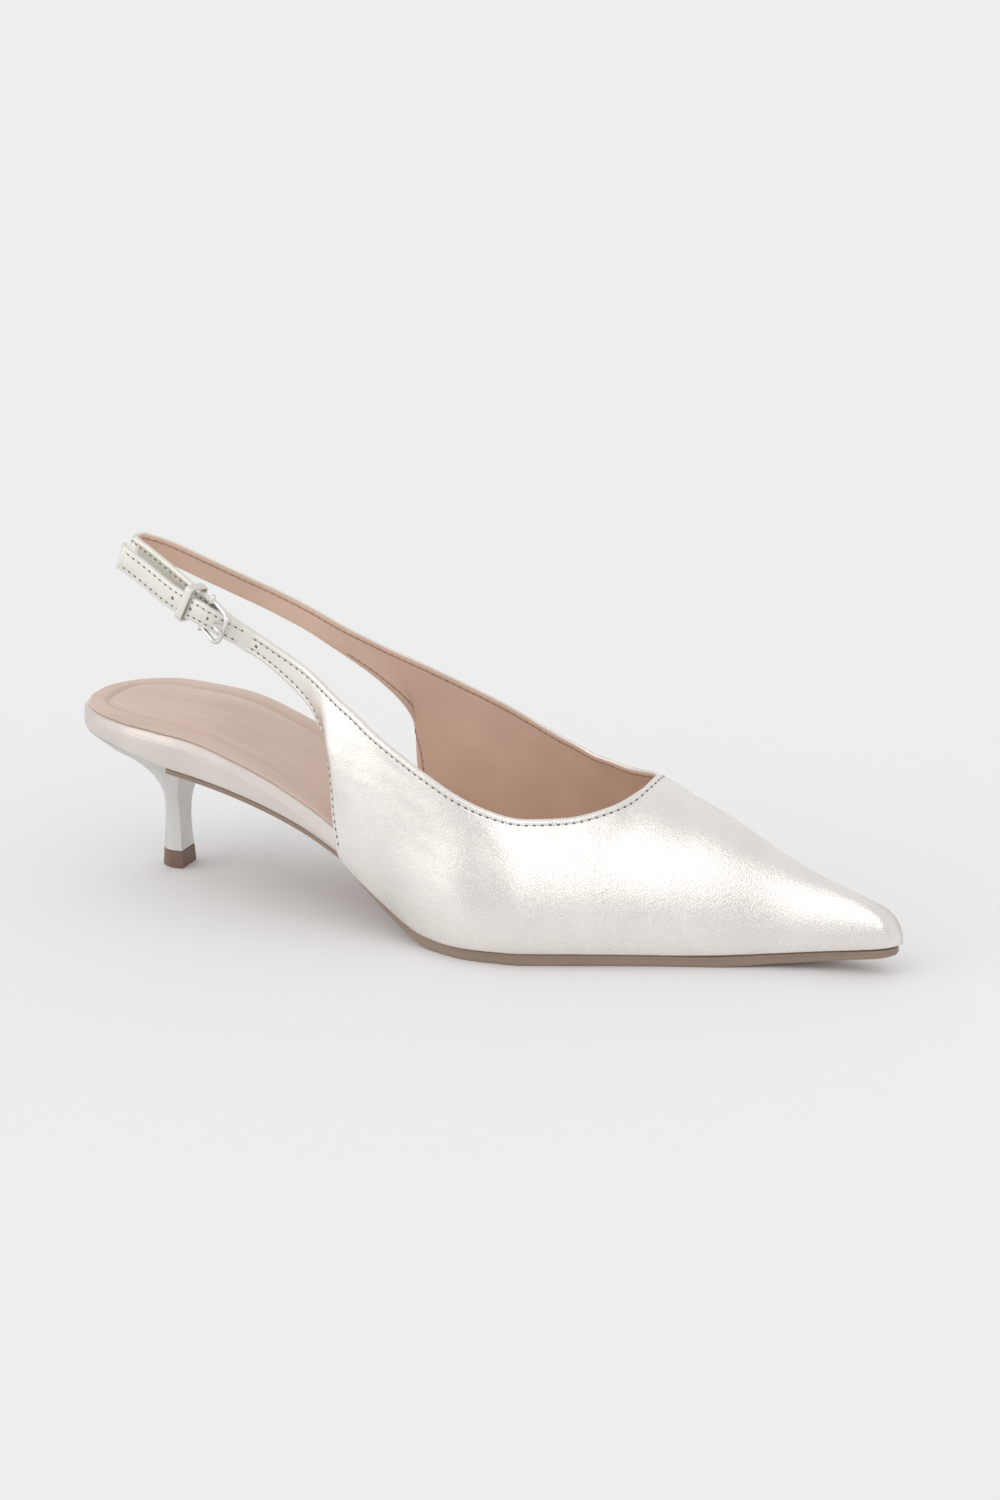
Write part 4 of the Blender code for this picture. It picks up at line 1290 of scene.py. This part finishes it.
def plain_leather(name, colour, roughness, grain_size=1500.0, streak=None):
    """Matt grained leather, rubber or thread, with faint patches or streaks."""
    made, node = shader(name, colour, 0.0, roughness)
    links = made.node_tree.links
    grain = add_noise(made, grain_size, 3.0, rough=0.6)
    broad = add_noise(made, 45.0, 3.0, stretch=streak or (1, 1, 1))
    normal = add_bump(made, grain, 0.5, 0.00008)
    links.new(normal, node.inputs["Normal"])
    darker = tuple(c * 0.86 for c in colour)
    links.new(add_ramp(made, broad, 0.3, 0.7, darker, colour), node.inputs["Base Color"])
    polish = add_ramp(made, grain, 0.3, 0.7, roughness - 0.05, roughness + 0.05)
    links.new(polish, node.inputs["Roughness"])
    node.inputs["Sheen Weight"].default_value = 0.15
    return made


def metal(name, colour, roughness):
    """Polished metal with a trace of wear."""
    made, node = shader(name, colour, 1.0, roughness)
    links = made.node_tree.links
    fine = add_noise(made, 900.0, 3.0)
    polish = add_ramp(made, fine, 0.3, 0.7, roughness * 0.8, roughness * 1.5)
    links.new(polish, node.inputs["Roughness"])
    links.new(add_bump(made, fine, 0.08, 0.00004), node.inputs["Normal"])
    return made


# ---------------------------------------------------------------- studio


LENS = 82.0
CAMERA_PLACE = (0.38249, -0.87987, 0.38063)
CAMERA_BACK = (0.37001, -0.87042, 0.32474)
FLOOR_TONE = (0.96, 0.965, 0.975)
BACK_TONE = (0.845, 0.845, 0.845)
KEY_TONE = (1.0, 0.985, 0.955)
DIM = 0.82
LOW = 0.34
EDGE = 0.03
KEY_SIZE = (0.12, 0.4)
KEY_TURN = (305, 45)
KEY_ROLL = (0.93, 0.37)
KEY_AIM = (0.05, -0.01, 0.04)
KEY_SHIFT = (0.24, -0.32)
KEY_REACH = 0.4
KEY_POWER = 1.75
SOFT_BOXES = (
    # first turn, last turn, low, high, power, softness of the low edge
    (196, 240, 0, 60, 1.6, 0.03),
)


def make_floor():
    made, node = shader("floor_paper", FLOOR_TONE, 0.0, 0.8)
    links = made.node_tree.links
    fibre = add_noise(made, 500.0, 3.0)
    links.new(add_bump(made, fibre, 0.05, 0.0001), node.inputs["Normal"])
    node.inputs["Specular IOR Level"].default_value = 0.1
    sides = 64
    rings = (0.0, 0.6, 3.0, 12.0, 60.0)
    points = []
    for reach in rings:
        for k in range(sides):
            turn = 2 * np.pi * k / sides
            points.append((reach * np.cos(turn), reach * np.sin(turn), 0.0))
    mesh = bpy.data.meshes.new("studio_floor")
    mesh.from_pydata(points, [], [f[::-1] for f in grid_faces(len(rings), sides, closed_columns=True)])
    mesh.materials.append(made)
    floor = bpy.data.objects.new("studio_floor", mesh)
    bpy.context.scene.collection.objects.link(floor)


def direction(turn, rise):
    turn, rise = math.radians(turn), math.radians(rise)
    return Vector((math.cos(rise) * math.cos(turn), math.cos(rise) * math.sin(turn), math.sin(rise)))


def make_sky():
    """The studio round the shoe: bright paper behind it, soft boxes by the camera, dim elsewhere."""
    world = bpy.data.worlds.new("studio")
    bpy.context.scene.world = world
    world.use_nodes = True
    nodes, links = world.node_tree.nodes, world.node_tree.links
    where = nodes.new("ShaderNodeTexCoord").outputs["Generated"]

    def along(axis):
        node = nodes.new("ShaderNodeVectorMath")
        node.operation = "DOT_PRODUCT"
        node.inputs[1].default_value = axis
        links.new(where, node.inputs[0])
        return node.outputs["Value"]

    def rising(value, low, high, first=0.0, last=1.0):
        return add_ramp(world, value, low, high, first, last, "SMOOTHSTEP")

    def times(one, two):
        node = nodes.new("ShaderNodeMath")
        node.operation = "MULTIPLY"
        links.new(one, node.inputs[0])
        links.new(two, node.inputs[1])
        return node.outputs["Value"]

    height = along(Vector((0, 0, 1)))
    paper = rising(along(direction(115, 5)), 0.35, 0.75)
    front = times(rising(height, 0.0, 0.28, 1.0, 0.0), rising(along(direction(262, 0)), 0.1, 0.5))
    tone = add_mix(world, front, (DIM, DIM * 0.99, DIM * 0.98), (LOW, LOW, LOW))
    tone = add_mix(world, paper, tone, BACK_TONE)
    for first, last, low, high, power, soft in SOFT_BOXES:
        foot, head = math.sin(math.radians(low)), math.sin(math.radians(high))
        box = rising(along(direction(first + 90, 0)), -EDGE, EDGE)
        box = times(box, rising(along(direction(last - 90, 0)), -EDGE, EDGE))
        box = times(box, rising(height, foot - soft, foot + soft))
        box = times(box, rising(height, head - EDGE / 2, head + EDGE / 2, 1.0, 0.0))
        tone = add_mix(world, box, tone, tuple(power * c for c in KEY_TONE))
    back = nodes["Background"]
    links.new(tone, back.inputs["Color"])
    back.inputs["Strength"].default_value = 1.0


def make_key():
    """The near soft box whose reflection runs along the vamp to the toe."""
    data = bpy.data.lights.new("key_box", "AREA")
    data.shape = "RECTANGLE"
    data.size, data.size_y = KEY_SIZE
    data.energy = KEY_POWER * math.pi * data.size * data.size_y
    data.color = KEY_TONE
    back = direction(*KEY_TURN)
    right = back.cross(Vector((0, 0, 1))).normalized()
    up = right.cross(back)
    across = (right * KEY_ROLL[0] + up * KEY_ROLL[1]).normalized()
    along = back.cross(across)
    place = Vector(KEY_AIM) + KEY_REACH * (back + KEY_SHIFT[0] * right + KEY_SHIFT[1] * up)
    box = bpy.data.objects.new("key_box", data)
    box.matrix_world = Matrix.Translation(place) @ Matrix((across, along, back)).transposed().to_4x4()
    box.visible_camera = False
    box.visible_diffuse = False
    bpy.context.scene.collection.objects.link(box)


def make_camera():
    """The photo's camera, turned to the one shoe, with a longer lens."""
    data = bpy.data.cameras.new("camera")
    data.lens = LENS
    data.sensor_width = 36.0
    data.clip_start = 0.05
    camera = bpy.data.objects.new("camera", data)
    back = Vector(CAMERA_BACK).normalized()
    right = Vector((0.0, 0.0, 1.0)).cross(back).normalized()
    up = back.cross(right)
    turn = Matrix((right, up, back)).transposed()
    camera.matrix_world = Matrix.Translation(CAMERA_PLACE) @ turn.to_4x4()
    bpy.context.scene.collection.objects.link(camera)
    bpy.context.scene.camera = camera


def main():
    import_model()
    silver = metal_leather("silver_leather", (0.93, 0.89, 0.86), 0.24, strap=(0.87, 0.85, 0.80))
    silver_smooth = metal_leather("silver_strap", (0.85, 0.83, 0.78), 0.42, 0.8)
    heel_cover = metal_leather("heel_leather", (0.74, 0.73, 0.71), 0.45, 0.75)
    lining = plain_leather("lining_leather", (0.80, 0.585, 0.465), 0.6)
    sock = plain_leather("sock_leather", (0.74, 0.57, 0.48), 0.62, streak=(0.35, 3.0, 1))
    brown = plain_leather("sole_paint", (0.36, 0.26, 0.205), 0.55)
    tip_brown = plain_leather("tip_rubber", (0.22, 0.13, 0.10), 0.5)
    steel = metal("buckle_polish", (0.82, 0.81, 0.80), 0.14)
    thread = plain_leather("thread", (0.78, 0.75, 0.70), 0.6)
    # lining thread colour, also used for beads of painted shade in the lining's needle holes
    lining_cord_and_hole_shade = plain_leather("lining_thread_and_hole_shade", (0.42, 0.30, 0.24), 0.6)
    # painted shade for the needle holes and the punched holes
    hole_shade_paint = plain_leather("hole_shade", (0.2, 0.18, 0.165), 0.7)

    shape = make_upper(silver, lining)
    thread_points = ([], [])
    lining_thread_and_hole_shade = ([], [])
    hole_shade_points = ([], [])
    sew_upper(shape, thread_points, hole_shade_points, lining_thread_and_hole_shade)
    make_tail(silver_smooth, thread_points, hole_shade_points)
    seam = make_object("stitches", *thread_points, thread)
    # these stitch objects also carry dark beads that paint the shade in the needle holes
    tan = make_object("lining_stitches_and_hole_shade", *lining_thread_and_hole_shade, lining_cord_and_hole_shade)
    hole_shade_beads = make_object("needle_hole_shade", *hole_shade_points, hole_shade_paint)
    make_hole_shade(hole_shade_paint)
    make_buckle(steel)
    make_keeper(silver_smooth)
    make_rim(metal_leather("rim_leather", (0.78, 0.72, 0.68), 0.36, 0.85))
    pad = make_sock(sock)
    make_sole(brown)
    make_heel(heel_cover, tip_brown)
    make_floor()
    make_sky()
    make_key()
    make_camera()
    bpy.context.scene.view_settings.view_transform = "Standard"


main()
